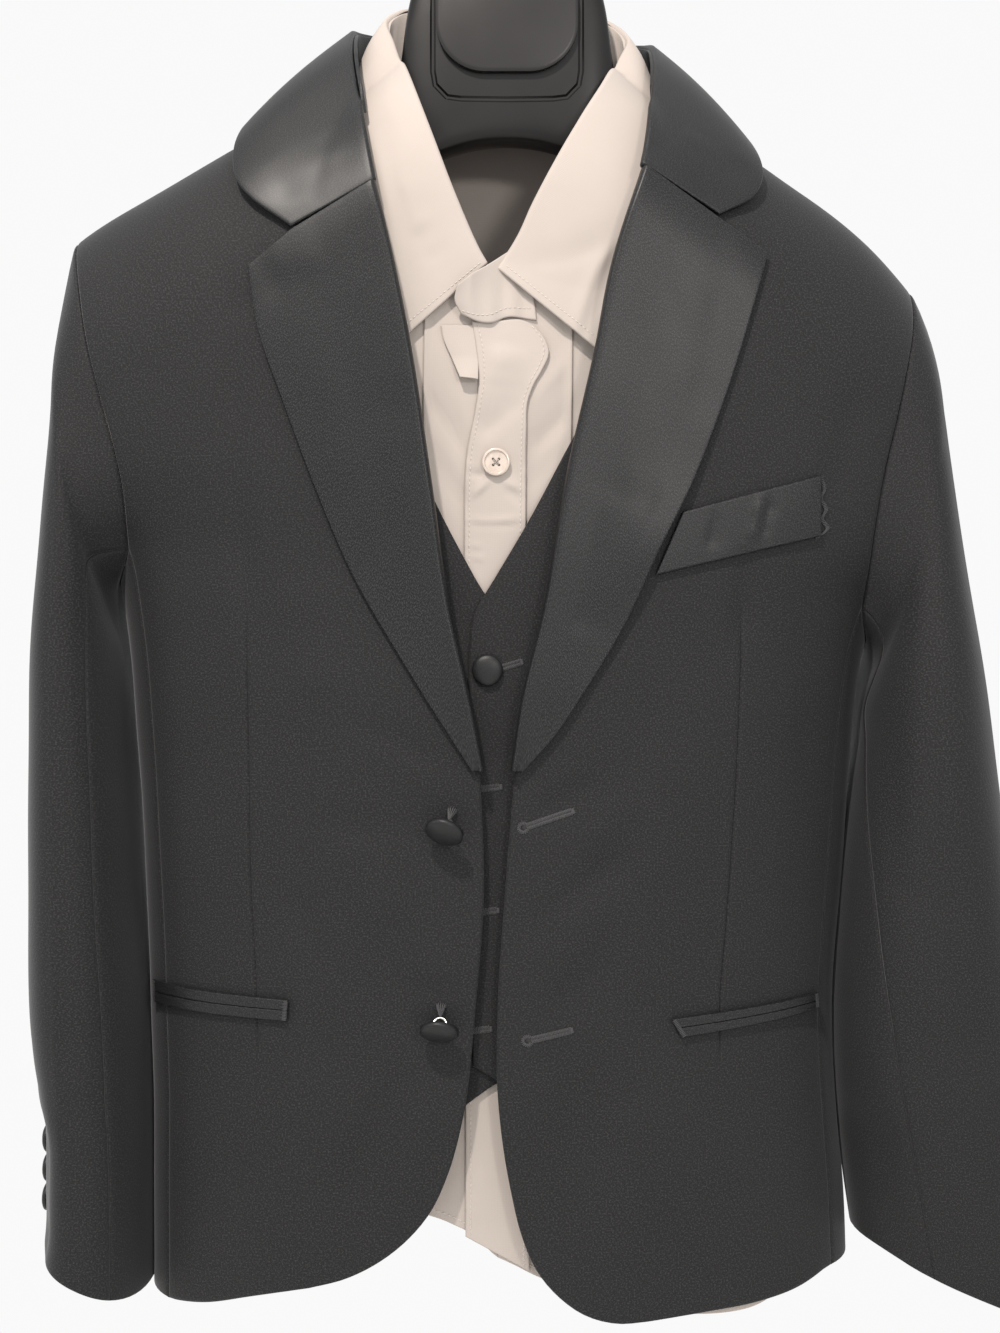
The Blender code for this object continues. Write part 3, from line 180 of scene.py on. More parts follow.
def duchess_satin():
    """Satin facing: long floats of yarn take a soft sheen; the sparkle is painted in as pale specks.
    """
    made, tree, place = new_finish("duchess_satin", "UV")
    # The slubs are 0.3 mm thick and 1 mm long in the real cloth and drawn twice as large.
    drawn = add_node(tree, MAPPING, "Vector", {"Vector": place, "Scale": (2300, 1600, 1000)})
    slubs = add_node(tree, NOISE, "Fac", {"Vector": drawn, "Scale": 1, "Detail": 3})
    cloud = add_node(tree, NOISE, "Fac", {"Vector": place, "Scale": 60, "Detail": 5})
    ground = add_node(tree, MIX, 2, {"Factor": cloud, 6: "#050506", 7: "#0c0d0e"}, data_type="RGBA")
    # Pale specks painted into the colour along the slubs: painted glints that stand in for the
    # satin's sparkle.
    painted_glints = {"Value": slubs, "From Min": 0.46, "From Max": 0.66, "To Max": 0.65}
    painted_glints = add_node(tree, RANGE, "Result", painted_glints)
    colour = add_node(tree, MIX, 2, {"Factor": painted_glints, 6: ground, 7: "#3e3f41"}, data_type="RGBA")
    gloss = add_node(tree, RANGE, "Result", {"Value": cloud, "To Min": 0.4, "To Max": 0.46})
    raised = add_node(tree, BUMP, "Normal", {"Height": slubs, "Strength": 0.2, "Distance": 0.0001})
    return finished(made, {
        "Base Color": colour, "Normal": raised, "Roughness": gloss, "Specular IOR Level": 0.31,
    })


def poplin():
    """Cotton-blend shirting: a close plain weave, warm white, soft and matt."""
    made, tree, place = new_finish("poplin", "UV")
    # Threads are 0.25 mm apart in the real cloth and drawn at 0.7 mm, so that they show.
    scaled = add_node(tree, MAPPING, "Vector", {"Vector": place, "Scale": (1000, 1000, 1000)})
    yarn = {"Vector": scaled, "Scale": 0.45, "Distortion": 0.8, "Detail": 1}
    warp = add_node(tree, WAVE, "Fac", yarn, bands_direction="X")
    weft = add_node(tree, WAVE, "Fac", yarn, bands_direction="Y")
    weave = add_node(tree, MATH, "Value", {0: warp, 1: weft}, operation="MAXIMUM")
    cloud = add_node(tree, NOISE, "Fac", {"Vector": place, "Scale": 28, "Detail": 3})
    ground = add_node(tree, MIX, 2, {"Factor": cloud, 6: "#a39a93", 7: "#ada49d"}, data_type="RGBA")
    # The threads' crowns are painted paler: a painted highlight on the weave.
    painted_thread_highlight = add_node(tree, MATH, "Value", {0: weave, 1: 0.14}, operation="MULTIPLY")
    colour = add_node(tree, MIX, 2, {"Factor": painted_thread_highlight, 6: ground, 7: "#c6beb8"}, data_type="RGBA")
    raised = add_node(tree, BUMP, "Normal", {"Height": weave, "Strength": 0.2, "Distance": 0.0001})
    return finished(made, {
        "Base Color": colour, "Normal": raised, "Roughness": 0.8, "Specular IOR Level": 0.25,
        "Sheen Weight": 0.1, "Sheen Roughness": 0.5,
    })


def polyester_thread(name, colour, worn):
    """Sewing thread: two twisted plies, a little glossier than the cloth."""
    made, tree, place = new_finish(name, "Object")
    twist = add_node(tree, NOISE, "Fac", {"Vector": place, "Scale": 2500, "Detail": 2})
    shade = add_node(tree, MIX, 2, {"Factor": twist, 6: colour, 7: worn}, data_type="RGBA")
    return finished(made, {"Base Color": shade, "Roughness": 0.5, "Sheen Weight": 0.15})


def moulded_polystyrene(name, low, high):
    """Injection-moulded black polystyrene: smooth but for a fine spark-eroded grain."""
    made, tree, place = new_finish(name, "Object")
    # The grain is about 0.4 mm across.
    grain = add_node(tree, NOISE, "Fac", {"Vector": place, "Scale": 2400, "Detail": 2})
    wear = add_node(tree, NOISE, "Fac", {"Vector": place, "Scale": 30, "Detail": 5})
    rough = add_node(tree, RANGE, "Result", {"Value": wear, "To Min": 0.3, "To Max": 0.44})
    colour = add_node(tree, MIX, 2, {"Factor": wear, 6: low, 7: high}, data_type="RGBA")
    raised = add_node(tree, BUMP, "Normal", {"Height": grain, "Strength": 0.12, "Distance": 0.0001})
    values = {"Base Color": colour, "Normal": raised, "Roughness": rough, "IOR": 1.42}
    return finished(made, values)


def plated_steel():
    """Nickel-plated steel wire, drawn and then polished, with fine rubbed marks."""
    made, tree, place = new_finish("plated_steel", "Object")
    marks = add_node(tree, NOISE, "Fac", {"Vector": place, "Scale": 420, "Detail": 4})
    rough = add_node(tree, RANGE, "Result", {"Value": marks, "To Min": 0.14, "To Max": 0.36})
    colour = add_node(tree, MIX, 2, {"Factor": marks, 6: "#b9b9b7", 7: "#d2d1cd"}, data_type="RGBA")
    return finished(made, {"Base Color": colour, "Roughness": rough, "Metallic": 1})


def cast_polyester():
    """Cast polyester button stock: milky, polished, with a faint pearly swirl."""
    made, tree, place = new_finish("cast_polyester", "Object")
    swirl = {"Vector": place, "Scale": 260, "Detail": 3, "Distortion": 1.5}
    swirl = add_node(tree, NOISE, "Fac", swirl)
    colour = add_node(tree, MIX, 2, {"Factor": swirl, 6: "#ab9d92", 7: "#cbbfb4"}, data_type="RGBA")
    return finished(made, {
        "Base Color": colour, "Roughness": 0.2, "IOR": 1.54, "Coat Weight": 0.3,
        "Coat Roughness": 0.1,
    })


FINISHES = {
    "wool": worsted_twill(),
    "satin": duchess_satin(),
    "shirting": poplin(),
    "dark_thread": polyester_thread("dark_thread", "#1c1c1e", "#38383a"),
    "white_thread": polyester_thread("white_thread", "#b4aba4", "#c8c0b9"),
    # The slits' finish is painted shade: near-black, for the shadow inside the buttonholes.
    "slit": polyester_thread("slit_shadow", "#060607", "#0b0b0c"),
    "hanger_plastic": moulded_polystyrene("moulded_polystyrene", "#060505", "#0d0b0b"),
    # The pad is the hanger's black plastic painted paler: painted reflection standing in for the
    # light its face catches.
    "pad_painted_reflection": moulded_polystyrene("polystyrene_painted_paler", "#191818", "#222020"),
    "steel": plated_steel(),
    "shirt_button": cast_polyester(),
}


# Curves, tables and nets


def hermite(keys, values, tangents, at):
    """Smooth values between keys, from the values and slopes at the keys."""
    at = np.clip(at, keys[0], keys[-1])
    low = np.clip(np.searchsorted(keys, at, side="right") - 1, 0, len(keys) - 2)
    width = (keys[low + 1] - keys[low])[..., None]
    t = (at - keys[low])[..., None] / width
    return (
        (1 + 2 * t) * (1 - t) ** 2 * values[low]
        + t * (1 - t) ** 2 * width * tangents[low]
        + t * t * (3 - 2 * t) * values[low + 1]
        + t * t * (t - 1) * width * tangents[low + 1]
    )


def from_table(table, at):
    """A table's other columns at values of its first, joined by curves that never overshoot."""
    table = np.array(table, float)
    keys, values = table[:, 0], table[:, 1:]
    slopes = np.diff(values, axis=0) / np.diff(keys)[:, None]
    product = slopes[:-1] * slopes[1:]
    total = slopes[:-1] + slopes[1:]
    inside = np.where(product > 0, 2 * product / np.where(total == 0, 1, total), 0)
    tangents = np.vstack([slopes[:1], inside, slopes[-1:]])
    return hermite(keys, values, tangents, np.asarray(at, float))


def distances(points):
    """How far along a curve each of its points lies."""
    steps = np.linalg.norm(np.diff(points, axis=0), axis=1)
    return np.concatenate([[0], np.cumsum(steps)])


def trace(points, shares):
    """A smooth curve through the points, at shares of its length or in that many equal steps."""
    points = np.array(points, float)
    if np.ndim(shares) == 0:
        shares = np.linspace(0, 1, shares + 1)
    keys = distances(points)
    return hermite(keys, points, np.gradient(points, keys, axis=0), keys[-1] * shares)


def from_ridge(length, count):
    """Shares of an edge that starts at the shoulder ridge: close rows where the cloth turns over."""
    t = np.linspace(0, 1, count + 1)
    turn = 2 * TURN_OVER / (length + TURN_OVER)
    fallen = TURN_OVER * (t / turn) ** 2
    return np.where(t < turn, fallen, TURN_OVER * (2 * t / turn - 1)) / length


def at_distances(at, path):
    """Points of a curve at distances along it."""
    keys = distances(path)
    return np.stack([np.interp(at, keys, column) for column in path.T], axis=-1)


def trace_from_ridge(points, count):
    points = trace(points, 60)
    length = distances(points)[-1]
    return at_distances(length * from_ridge(length, count), points)


def chain(*curves):
    """Curves joined end to end, each starting where the last one stopped."""
    return np.vstack([curves[0]] + [curve[1:] for curve in curves[1:]])


def coons(top, bottom, left, right):
    """A net between four edges: rows run from top to bottom and columns from left to right."""
    s = np.linspace(0, 1, len(top))[None, :, None]
    fallen = [(edge[:, 1] - edge[0, 1]) / (edge[-1, 1] - edge[0, 1]) for edge in (left, right)]
    t = np.mean(fallen, axis=0)[:, None, None]
    across = (1 - s) * left[:, None] + s * right[:, None]
    down = (1 - t) * top[None] + t * bottom[None]
    corners = (1 - s) * (1 - t) * top[0] + s * (1 - t) * top[-1]
    corners = corners + (1 - s) * t * bottom[0] + s * t * bottom[-1]
    return across + down - corners


def unit(vectors):
    return vectors / np.maximum(np.linalg.norm(vectors, axis=-1, keepdims=True), 1e-9)


def net_normals(points, ring=False):
    """Outward directions of a net seen from outside: rows run down and columns to the right."""
    down = np.gradient(points, axis=0)
    if ring:
        right = np.roll(points, -1, axis=1) - np.roll(points, 1, axis=1)
    else:
        right = np.gradient(points, axis=1)
    return unit(np.cross(down, right))


# The body's surface


def shoulder_line(x):
    """Height and slope of the shoulder ridge at a distance from the middle."""
    rows = [from_table(SHOULDERS, np.abs(x + step)) for step in (-0.5, 0.0, 0.5)]
    side = (np.asarray(x) > 0).astype(int)[..., None]
    before, here, after = (np.take_along_axis(row, side, axis=-1)[..., 0] for row in rows)
    return here, after - before


def body_sizes(layer, x, z, behind):
    """Half width and depth of a garment at a height, and its shoulder ridge."""
    side_inset, depth_inset, drop = LAYERS[layer]
    right, left, front, back = np.moveaxis(from_table(BODY, z), -1, 0)
    half = np.where(np.asarray(x) < 0, right, left) - side_inset
    depth = np.where(behind, back, front) - depth_inset
    ridge, slope = shoulder_line(x)
    return half, depth, ridge - drop, slope


def angle_at(layer, outline, behind=False):
    """Outline points (x, z) as (angle, z): the angle runs from the front's middle, left positive."""
    x, z = np.array(outline, float).T
    half = body_sizes(layer, x, z, behind)[0]
    share = np.clip(np.abs(x) / half, 0, 1) ** (ROUNDNESS / 2)
    angle = np.degrees(np.arcsin(share))
    if behind:
        angle = 180 - angle
    return np.stack([np.where(x < 0, -1, 1) * angle, z], axis=-1)


def on_body(layer, net):
    """Points and outward directions on a garment's body for a net of (angle, z)."""
    angle, z = np.radians(net[..., 0]), net[..., 1]
    behind = np.cos(angle) < 0
    power = 2 / ROUNDNESS
    half = body_sizes(layer, np.sin(angle), z, behind)[0]
    x = half * np.sign(np.sin(angle)) * np.abs(np.sin(angle)) ** power
    half, depth, ridge, slope = body_sizes(layer, x, z, behind)
    above = 1 - np.clip((ridge - z) / SHOULDER_ROUND, 0, 1)
    side = np.abs(np.cos(angle)) ** power
    closing = np.sqrt(1 - above**2)
    facing = np.where(behind, 1, -1)
    points = np.stack([x, facing * depth * side * closing, z], axis=-1)
    # The outward direction is the gradient of the oval, which turns straight up at the ridge.
    full = side**ROUNDNESS
    out_x = closing**2 * (np.abs(x) / half) ** (ROUNDNESS - 1) * np.sign(x) / half
    out_x = out_x - above * slope * full / SHOULDER_ROUND
    out_y = facing * closing * side ** (ROUNDNESS - 1) / depth
    out_z = above * full / SHOULDER_ROUND
    return points, unit(np.stack([out_x, out_y, out_z], axis=-1))


# Creases by garment or piece and by the side they are seen from: how high each stands (or how
# deep it lies, if negative), how wide it is, and the points that it runs through.

FOLDS = {
    ("jacket", "front"): (
        (-1.7, 6, (-112, -228), (-110, -318), (-106, -357)),
        (1.0, 12, (-88, -330), (-75, -392)),
        (-0.9, 5, (-66, -393), (-40, -404), (-16, -416)),
        (-1.0, 7, (-84, -433), (-54, -438), (-31, -436)),
        (-0.9, 8, (-89, -458), (-78, -483), (-69, -497)),
        (0.9, 9, (-60, -449), (-48, -479)),
        (-1.0, 4, (-47, -498), (-30, -502), (-13, -499)),
        (-1.4, 9, (-29, -524), (-53, -555), (-70, -602)),
        (0.8, 12, (-78, -524), (-86, -590)),
        (0.8, 7, (-31, -540), (-44, -588)),
        (0.7, 14, (-137, -370), (-133, -480)),
        (-0.7, 13, (-120, -228), (-88, -212)),
        (-1.2, 5, (40, -414), (22, -424), (7, -434)),
        (0.8, 5, (52, -422), (26, -445)),
        (-1.4, 7, (55, -442), (27, -461), (5, -479)),
        (-1.2, 8, (46, -468), (37, -488), (11, -514)),
        (-0.9, 5, (27, -521), (6, -532)),
        (-1.2, 12, (30, -514), (24, -558), (35, -610)),
        (1.0, 14, (49, -538), (54, -600)),
        (-1.4, 6, (96, -328), (95, -364)),
        (-1.0, 12, (125, -371), (124, -438), (118, -490)),
        (-1.1, 8, (145, -254), (136, -281), (130, -309)),
        (0.9, 13, (64, -395), (58, -468)),
        (-0.8, 12, (88, -534), (96, -602)),
    ),
    ("jacket", "back"): (
        (-1.2, 14, (-60, -230), (-52, -420), (-62, -606)),
        (1.0, 16, (-98, -300), (-92, -606)),
        (-1.2, 13, (72, -250), (60, -430), (74, -606)),
        (0.9, 15, (106, -300), (110, -606)),
        (-0.8, 6, (-112, -428), (-62, -440), (-18, -436)),
        (-0.8, 6, (14, -446), (62, -452), (112, -440)),
        (-0.7, 8, (-74, -156), (-116, -184)),
        (-0.6, 8, (78, -160), (118, -192)),
        (0.8, 10, (-24, -470), (-30, -610)),
    ),
    ("sleeves", "front"): (
        (0.7, 1.8, (-182.5, -246), (-183.5, -400), (-182, -568)),
        (-0.7, 8, (-158, -545), (-188, -553)),
        (-0.8, 9, (-170, -300), (-176, -420), (-172, -520)),
        (-1.7, 6, (157, -312), (154, -398), (157, -458)),
        (0.9, 9, (175, -340), (181, -428)),
        (-0.6, 8, (158, -460), (190, -475)),
        (-0.9, 9, (183, -486), (196, -560), (200, -600)),
        (0.8, 9, (205, -480), (219, -560)),
    ),
    ("sleeves", "back"): (
        (-1.1, 8, (-196, -300), (-190, -430), (-180, -560)),
        (0.8, 8, (-178, -330), (-176, -470)),
        (-0.8, 6, (-206, -410), (-180, -426), (-168, -420)),
        (-0.7, 6, (-204, -445), (-182, -452)),
        (-1.1, 8, (172, -330), (178, -450), (200, -580)),
        (0.8, 8, (196, -360), (204, -480)),
        (-0.8, 6, (160, -430), (184, -446), (204, -440)),
    ),
    ("sleeves", "right"): (
        (-0.9, 8, (-8, -300), (4, -420), (-4, -540)),
        (-3.2, 13, (-38, -548), (-38, -585), (-38, -622)),
    ),
    ("sleeves", "left"): (
        (-0.9, 8, (-6, -320), (8, -440), (-4, -560)),
    ),
    ("shirt", "front"): (
        (-1.8, 4, (-33, -258), (-18, -284)),
        (-1.3, 3.5, (-30, -284), (-17, -309)),
        (-2.0, 4, (9, -288), (20, -272), (27, -266)),
        (-1.2, 3.5, (8, -299), (17, -288)),
        (1.2, 4, (12, -264), (24, -246)),
        (-0.8, 7, (-70, -300), (-62, -420), (-74, -560)),
        (0.7, 8, (60, -300), (52, -430), (58, -580)),
        (-0.7, 5, (-24, -560), (-30, -592)),
        (0.6, 4, (-12, -572), (-14, -600)),
        (-0.6, 5, (12, -566), (18, -600)),
    ),
    ("shirt", "back"): (
        (-0.9, 9, (-40, -200), (-30, -380), (-46, -600)),
        (0.8, 10, (44, -220), (50, -420), (38, -600)),
        (-0.7, 6, (-90, -420), (-20, -432)),
        (-0.6, 6, (20, -470), (84, -460)),
    ),
    ("shirt_placket", "front"): (
        (-0.8, 1.5, (-16.5, -292.6), (-8, -293.8)),
        (0.9, 1.5, (-15.5, -303), (-6, -294.5)),
        (0.8, 1.6, (-2.5, -295), (8, -301)),
        (-0.4, 1.6, (-1, -299), (5, -305)),
        (0.7, 1.3, (-17, -311.4), (-4, -312.2), (7.2, -310.8)),
        (-0.3, 1.5, (-17, -314), (7, -313.5)),
        (0.35, 1.2, (-17, -321.5), (-10, -322.5)),
        (0.35, 1.2, (-16.5, -326.8), (-8.5, -327.5)),
        (1.3, 7, (-2, -238), (-5, -258)),
        (-1.0, 5, (-14, -279), (6, -262)),
    ),
    ("shirt_collar", "front"): (
        (0.7, 2.4, (-59, -138), (-48.5, -184), (-42, -222)),
        (0.9, 2.6, (27, -237), (38, -207), (45, -196)),
        (-0.7, 2.6, (33, -236), (44, -206), (50, -194)),
        (-0.7, 5, (7, -207), (25, -205), (40, -198)),
        (-0.5, 6, (-38, -191), (-28, -208)),
        (0.5, 5, (-44, -168), (-34, -198)),
    ),
    ("shirt_collar", "back"): (
        (-0.6, 5, (-20, -82), (-14, -104)),
        (0.5, 5, (22, -82), (16, -104)),
    ),
    ("lapels", "front"): (
        (0.4, 9, (-98, -206), (-82, -208), (-70, -206)),
        (-0.6, 12, (-66, -208), (-62, -250), (-54, -290)),
        (0.4, 10, (-52, -262), (-36, -330)),
        (-0.55, 11, (88, -208), (84, -240), (74, -276)),
        (0.35, 7, (86, -197), (100, -206)),
        (-0.35, 6, (38, -300), (62, -308)),
        (-0.35, 7, (24, -350), (42, -358)),
        (0.4, 14, (64, -210), (56, -270), (40, -330)),
    ),
    ("collar_fall", "front"): (
        (-0.35, 7, (-98, -164), (-86, -186)),
        (0.3, 8, (-80, -148), (-70, -170)),
        (0.3, 8, (80, -150), (70, -166)),
        (-0.35, 7, (98, -160), (88, -178)),
    ),
    ("collar_fall", "back"): (
        (-0.5, 7, (-52, -96), (-60, -132)),
        (0.5, 7, (34, -94), (40, -128)),
    ),
    ("breast_welt", "front"): (
        (0.55, 2.2, (101, -303), (97, -322)),
        (-0.5, 2.2, (106, -302), (102, -320)),
        (-0.35, 3, (84, -308), (80, -326)),
    ),
    ("waistcoat", "front"): (
        (-0.9, 3, (-12, -368), (-2, -392)),
        (0.7, 2.5, (-13, -417), (2, -412)),
        (-0.6, 3, (-13, -428), (3, -424)),
        (-0.6, 4, (24, -300), (14, -330)),
        (-0.8, 12, (-60, -300), (-58, -480)),
        (-0.8, 12, (64, -320), (60, -480)),
    ),
    ("waistcoat", "back"): (
        (-0.9, 10, (-40, -220), (-34, -480)),
        (0.8, 12, (38, -220), (44, -480)),
    ),
}
VIEWS = {
    "front": ((0, 2), (0, -1, 0)),
    "back": ((0, 2), (0, 1, 0)),
    "right": ((1, 2), (-1, 0, 0)),
    "left": ((1, 2), (1, 0, 0)),
}
# How much wider a crease is on one side, how much it swells and thins along its way, over what
# share of its length it dies away, how high it still stands at its ends, and how squarely the
# cloth has to face its view before it shows and then shows whole.
LEANS = 0.3
SWELLS = 0.22
DYING_SHARE = 0.3
END_HEIGHT = 0.25
FACING_FROM = 0.15
FACING_SPAN = 0.5


def fold_lift(points, normals, name):
    """How far each point of a cloth is moved out by its creases, which die away at both ends."""
    lift = np.zeros(points.shape[:-1])
    for view, (axes, towards) in VIEWS.items():
        facing = np.clip((normals @ np.array(towards) - FACING_FROM) / FACING_SPAN, 0, 1)
        for height, width, *path in FOLDS.get((name, view), ()):
            path = trace(path, 4 * (len(path) - 1))
            nearest, share, side = nearest_on(path, points[..., axes])
            wide = width * (1 + LEANS * side)
            ends = np.clip(np.minimum(share, 1 - share) / DYING_SHARE, 0, 1)
            uneven = 1 + SWELLS * np.sin(9 * share + path[0][0])
            whole = END_HEIGHT + (1 - END_HEIGHT) * ends * ends * (3 - 2 * ends)
            lift += height * uneven * whole * np.exp(-((nearest / wide) ** 2)) * facing
    return lift


def nearest_on(path, seen):
    """Each point's distance from a path, its share of the way along, and the side it is on."""
    keys = distances(path)
    nearest = np.full(seen.shape[:-1], 1e9)
    share, side = np.zeros(nearest.shape), np.zeros(nearest.shape)
    for key, start, end in zip(keys, path, path[1:]):
        run = end - start
        t = np.clip(((seen - start) @ run) / (run @ run), 0, 1)
        gap = seen - start - t[..., None] * run
        distance = np.linalg.norm(gap, axis=-1)
        closer = distance < nearest
        nearest = np.where(closer, distance, nearest)
        share = np.where(closer, (key + t * np.linalg.norm(run)) / keys[-1], share)
        side = np.where(closer, np.sign(run[0] * gap[..., 1] - run[1] * gap[..., 0]), side)
    return nearest, share, side


# Long slow waves that keep the cloth from lying dead flat: direction in x, y, z and height.
WAVES = (
    ((0.055, 0.02, 0.021), 0.20),
    ((-0.031, 0.05, 0.043), 0.18),
    ((0.083, -0.03, -0.034), 0.12),
    ((0.019, 0.07, 0.092), 0.09),
    ((-0.12, 0.02, 0.055), 0.07),
)


def wave_lift(points):
    return sum(height * np.sin(points @ np.array(way) + 40 * height) for way, height in WAVES)


# Cloth walls


def edge_rows(kind, thickness):
    """Distances in from an edge, and how far the cloth's face is drawn in there."""
    if kind == "seam":
        return np.array([0, 0.45, 1.0, 1.8]), np.array([0.6, 0.32, 0.1, 0]) * thickness / 2
    reach = thickness * (0.5 if kind == "fold" else 0.9)
    away = np.array([0, 0.1, 0.35, 0.65, 1.0])
    drawn = 1 - np.sqrt(1 - (1 - away) ** 2)
    return away * reach, np.minimum(drawn, 0.86) * thickness / 2


def with_edge_rows(sheet, kinds, thickness):
    """The sheet with close rows along its four edges, and its face's and back's depths there."""
    depths = []
    for axis, (first, last) in enumerate(kinds):
        sheet = np.moveaxis(sheet, axis, 0)
        ends = []
        for kind, outwards in ((first, sheet), (last, sheet[::-1])):
            inwards, drawn = edge_rows(kind, thickness)
            step = outwards[1] - outwards[0]
            gap = np.linalg.norm(step[..., :3], axis=-1, keepdims=True)
            gap = np.maximum(gap, 1.2 * inwards[-1])
            rows = np.array([outwards[0] + step * distance / gap for distance in inwards])
            ends.append((rows, np.stack([drawn, 0 * drawn if kind == "seam" else drawn])))
        (top, top_drawn), (low, low_drawn) = ends
        flat = np.zeros((2, len(sheet) - 2))
        depths.append(np.concatenate([top_drawn, flat, low_drawn[:, ::-1]], axis=1))
        sheet = np.concatenate([top, sheet[1:-1], low[::-1]])
        sheet = np.moveaxis(sheet, 0, axis)
    return sheet, *np.maximum(depths[0][:, :, None], depths[1][:, None])


def flat_places(points):
    """Each point's real distance across and down the cloth, which its weave follows."""
    across = np.linalg.norm(np.diff(points, axis=1), axis=-1).cumsum(axis=1)
    down = np.linalg.norm(np.diff(points, axis=0), axis=-1).cumsum(axis=0)
    across = np.pad(across, ((0, 0), (1, 0)))
    across = across - across[:, across.shape[1] // 2][:, None]
    return np.stack([across, -np.pad(down, ((1, 0), (0, 0)))], axis=-1)


# A sleeve's usual radius, and the height at which a garment's width is measured for its weave.
SLEEVE_RADIUS = 45.0
ROUND_HEIGHT = -450.0


def hanging_places(points, sections, outwards):
    """The same for a hanging sleeve: distance round the arm, and height."""
    table = np.array(sections, float)[::-1]
    heights = (table[:, 1] + table[:, 3]) / 2
    middle_x = np.interp(points[..., 2], heights, (table[:, 0] + table[:, 2]) / 2)
    middle_y = np.interp(points[..., 2], heights, table[:, 5])
    turn = np.arctan2(points[..., 1] - middle_y, outwards * (points[..., 0] - middle_x))
    return np.stack([SLEEVE_RADIUS * turn, points[..., 2]], axis=-1)


def place_object(name, data):
    """A new object in the scene that shows a mesh, lamp or camera."""
    made = bpy.data.objects.new(name, data)
    bpy.context.scene.collection.objects.link(made)
    return made


def dress(piece, finish, node):
    """A finished piece's material, its body and the solid it stands for, if any."""
    piece.data.materials.clear()
    piece.data.materials.append(FINISHES[finish])
    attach(piece, "root")
    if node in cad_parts:
        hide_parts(node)
    return piece


def new_piece(name, points, faces, finish, uv=None):
    """One named mesh from points in millimetres, with its weave's UV map in metres."""
    mesh = bpy.data.meshes.new(name)
    mesh.from_pydata((np.asarray(points) * MM).tolist(), [], faces)
    if uv is not None:
        layer = mesh.uv_layers.new(name="weave")
        loops = np.zeros(len(mesh.loops), dtype=np.int32)
        mesh.loops.foreach_get("vertex_index", loops)
        layer.data.foreach_set("uv", (np.asarray(uv)[loops] * MM).astype(np.float32).ravel())
    mesh.shade_smooth()
    dress(place_object(name, mesh), finish, name)


# How a piece's edges are made: top and bottom, then left and right.
FOLD_ALL = (("fold", "fold"), ("fold", "fold"))
HEMMED = (("seam", "fold"), ("seam", "seam"))


def cloth(name, points, normals, thickness, finish, kinds=FOLD_ALL, weave=None):
    """A thin closed shell of cloth for the solid of the same name.

    Its edges are sewn into seams or folded under, top, bottom, left and right.
    """
    weave = flat_places(points) if weave is None else weave
    sheet = np.concatenate([points, normals, weave], axis=-1)
    sheet, face, back = with_edge_rows(sheet, kinds, thickness)
    points, normals, uv = sheet[..., :3], unit(sheet[..., 3:6]), sheet[..., 6:]
    rows, columns = points.shape[:2]
    outer = points - face[..., None] * normals
    inner = points - (thickness - back)[..., None] * normals
    both = np.vstack([outer.reshape(-1, 3), inner.reshape(-1, 3)])
    index = np.arange(rows * columns).reshape(rows, columns)
    quads = np.stack([index[:-1, :-1], index[1:, :-1], index[1:, 1:], index[:-1, 1:]], axis=-1)
    quads = quads.reshape(-1, 4)
    behind = quads[:, ::-1] + rows * columns
    rim = np.concatenate([index[0, :-1], index[:-1, -1], index[-1, :0:-1], index[:0:-1, 0]])
    after = np.roll(rim, -1)
    sides = np.stack([rim, after, after + rows * columns, rim + rows * columns], axis=-1)
    faces = np.vstack([quads, behind, sides]).tolist()
    new_piece(name, both, faces, finish, np.vstack([uv.reshape(-1, 2)] * 2))


def panel_points(layer, net, lift=0):
    """A garment panel's points and directions, and how far its creases and lift move it out."""
    points, normals = on_body(layer, net)
    rise = fold_lift(points, normals, layer) + wave_lift(points)
    return points, normals, rise + (lift(points) if callable(lift) else lift)


def woven_places(layer, net):
    """Each point's distance round and down the garment, which its weave follows."""
    turns = np.arange(0, 271.0)
    level, _ = on_body(layer, np.stack([turns, np.full(len(turns), ROUND_HEIGHT)], axis=-1))
    angle, z = net[..., 0], net[..., 1]
    x, y, _ = np.moveaxis(on_body(layer, net)[0], -1, 0)
    half, _, ridge, _ = body_sizes(layer, x, z, y > 0)
    usual = body_sizes(layer, x, np.full(z.shape, ROUND_HEIGHT), y > 0)[0]
    around = np.interp(np.abs(angle), turns, distances(level))
    above = 1 - np.clip((ridge - z) / SHOULDER_ROUND, 0, 1)
    down = z + (0.85 * np.arcsin(above) - above) * SHOULDER_ROUND
    return np.stack([np.sign(angle) * around * half / usual, down], axis=-1)


def body_panel(name, layer, edges, thickness, finish, kinds, line=None, lift=0, seam=()):
    """A cloth panel on a garment's body between four (angle, z) edges."""
    net, pressed = coons(*edges), 0
    if line:
        net, pressed = columns_along(layer, net, line)
    points, normals, rise = panel_points(layer, net, lift)
    for place, given in seam:
        normals[place] = given
    face = points + (rise + pressed)[..., None] * normals
    cloth(name, face, normals, thickness, finish, kinds, woven_places(layer, net))


# Lines pressed or sewn down a panel: distance from the line, and how far the face moves there.
# A line fades in and out over LINE_FADE at its ends, and the net's own columns stay LINE_CLEAR
# beyond its profile.
DART = ((-3.5, 0), (-1.6, 0.15), (-0.5, -0.1), (0, -0.95), (0.5, -0.1), (1.6, 0.15), (3.5, 0))
TUCK_RIGHT = ((-2, 0), (-0.25, -0.15), (0, 0.85), (0.5, 1.05), (2, 0.7), (5, 0.2), (8, 0))
TUCK_LEFT = tuple((-place, height) for place, height in TUCK_RIGHT[::-1])
LINE_FADE = 12
LINE_CLEAR = 0.8


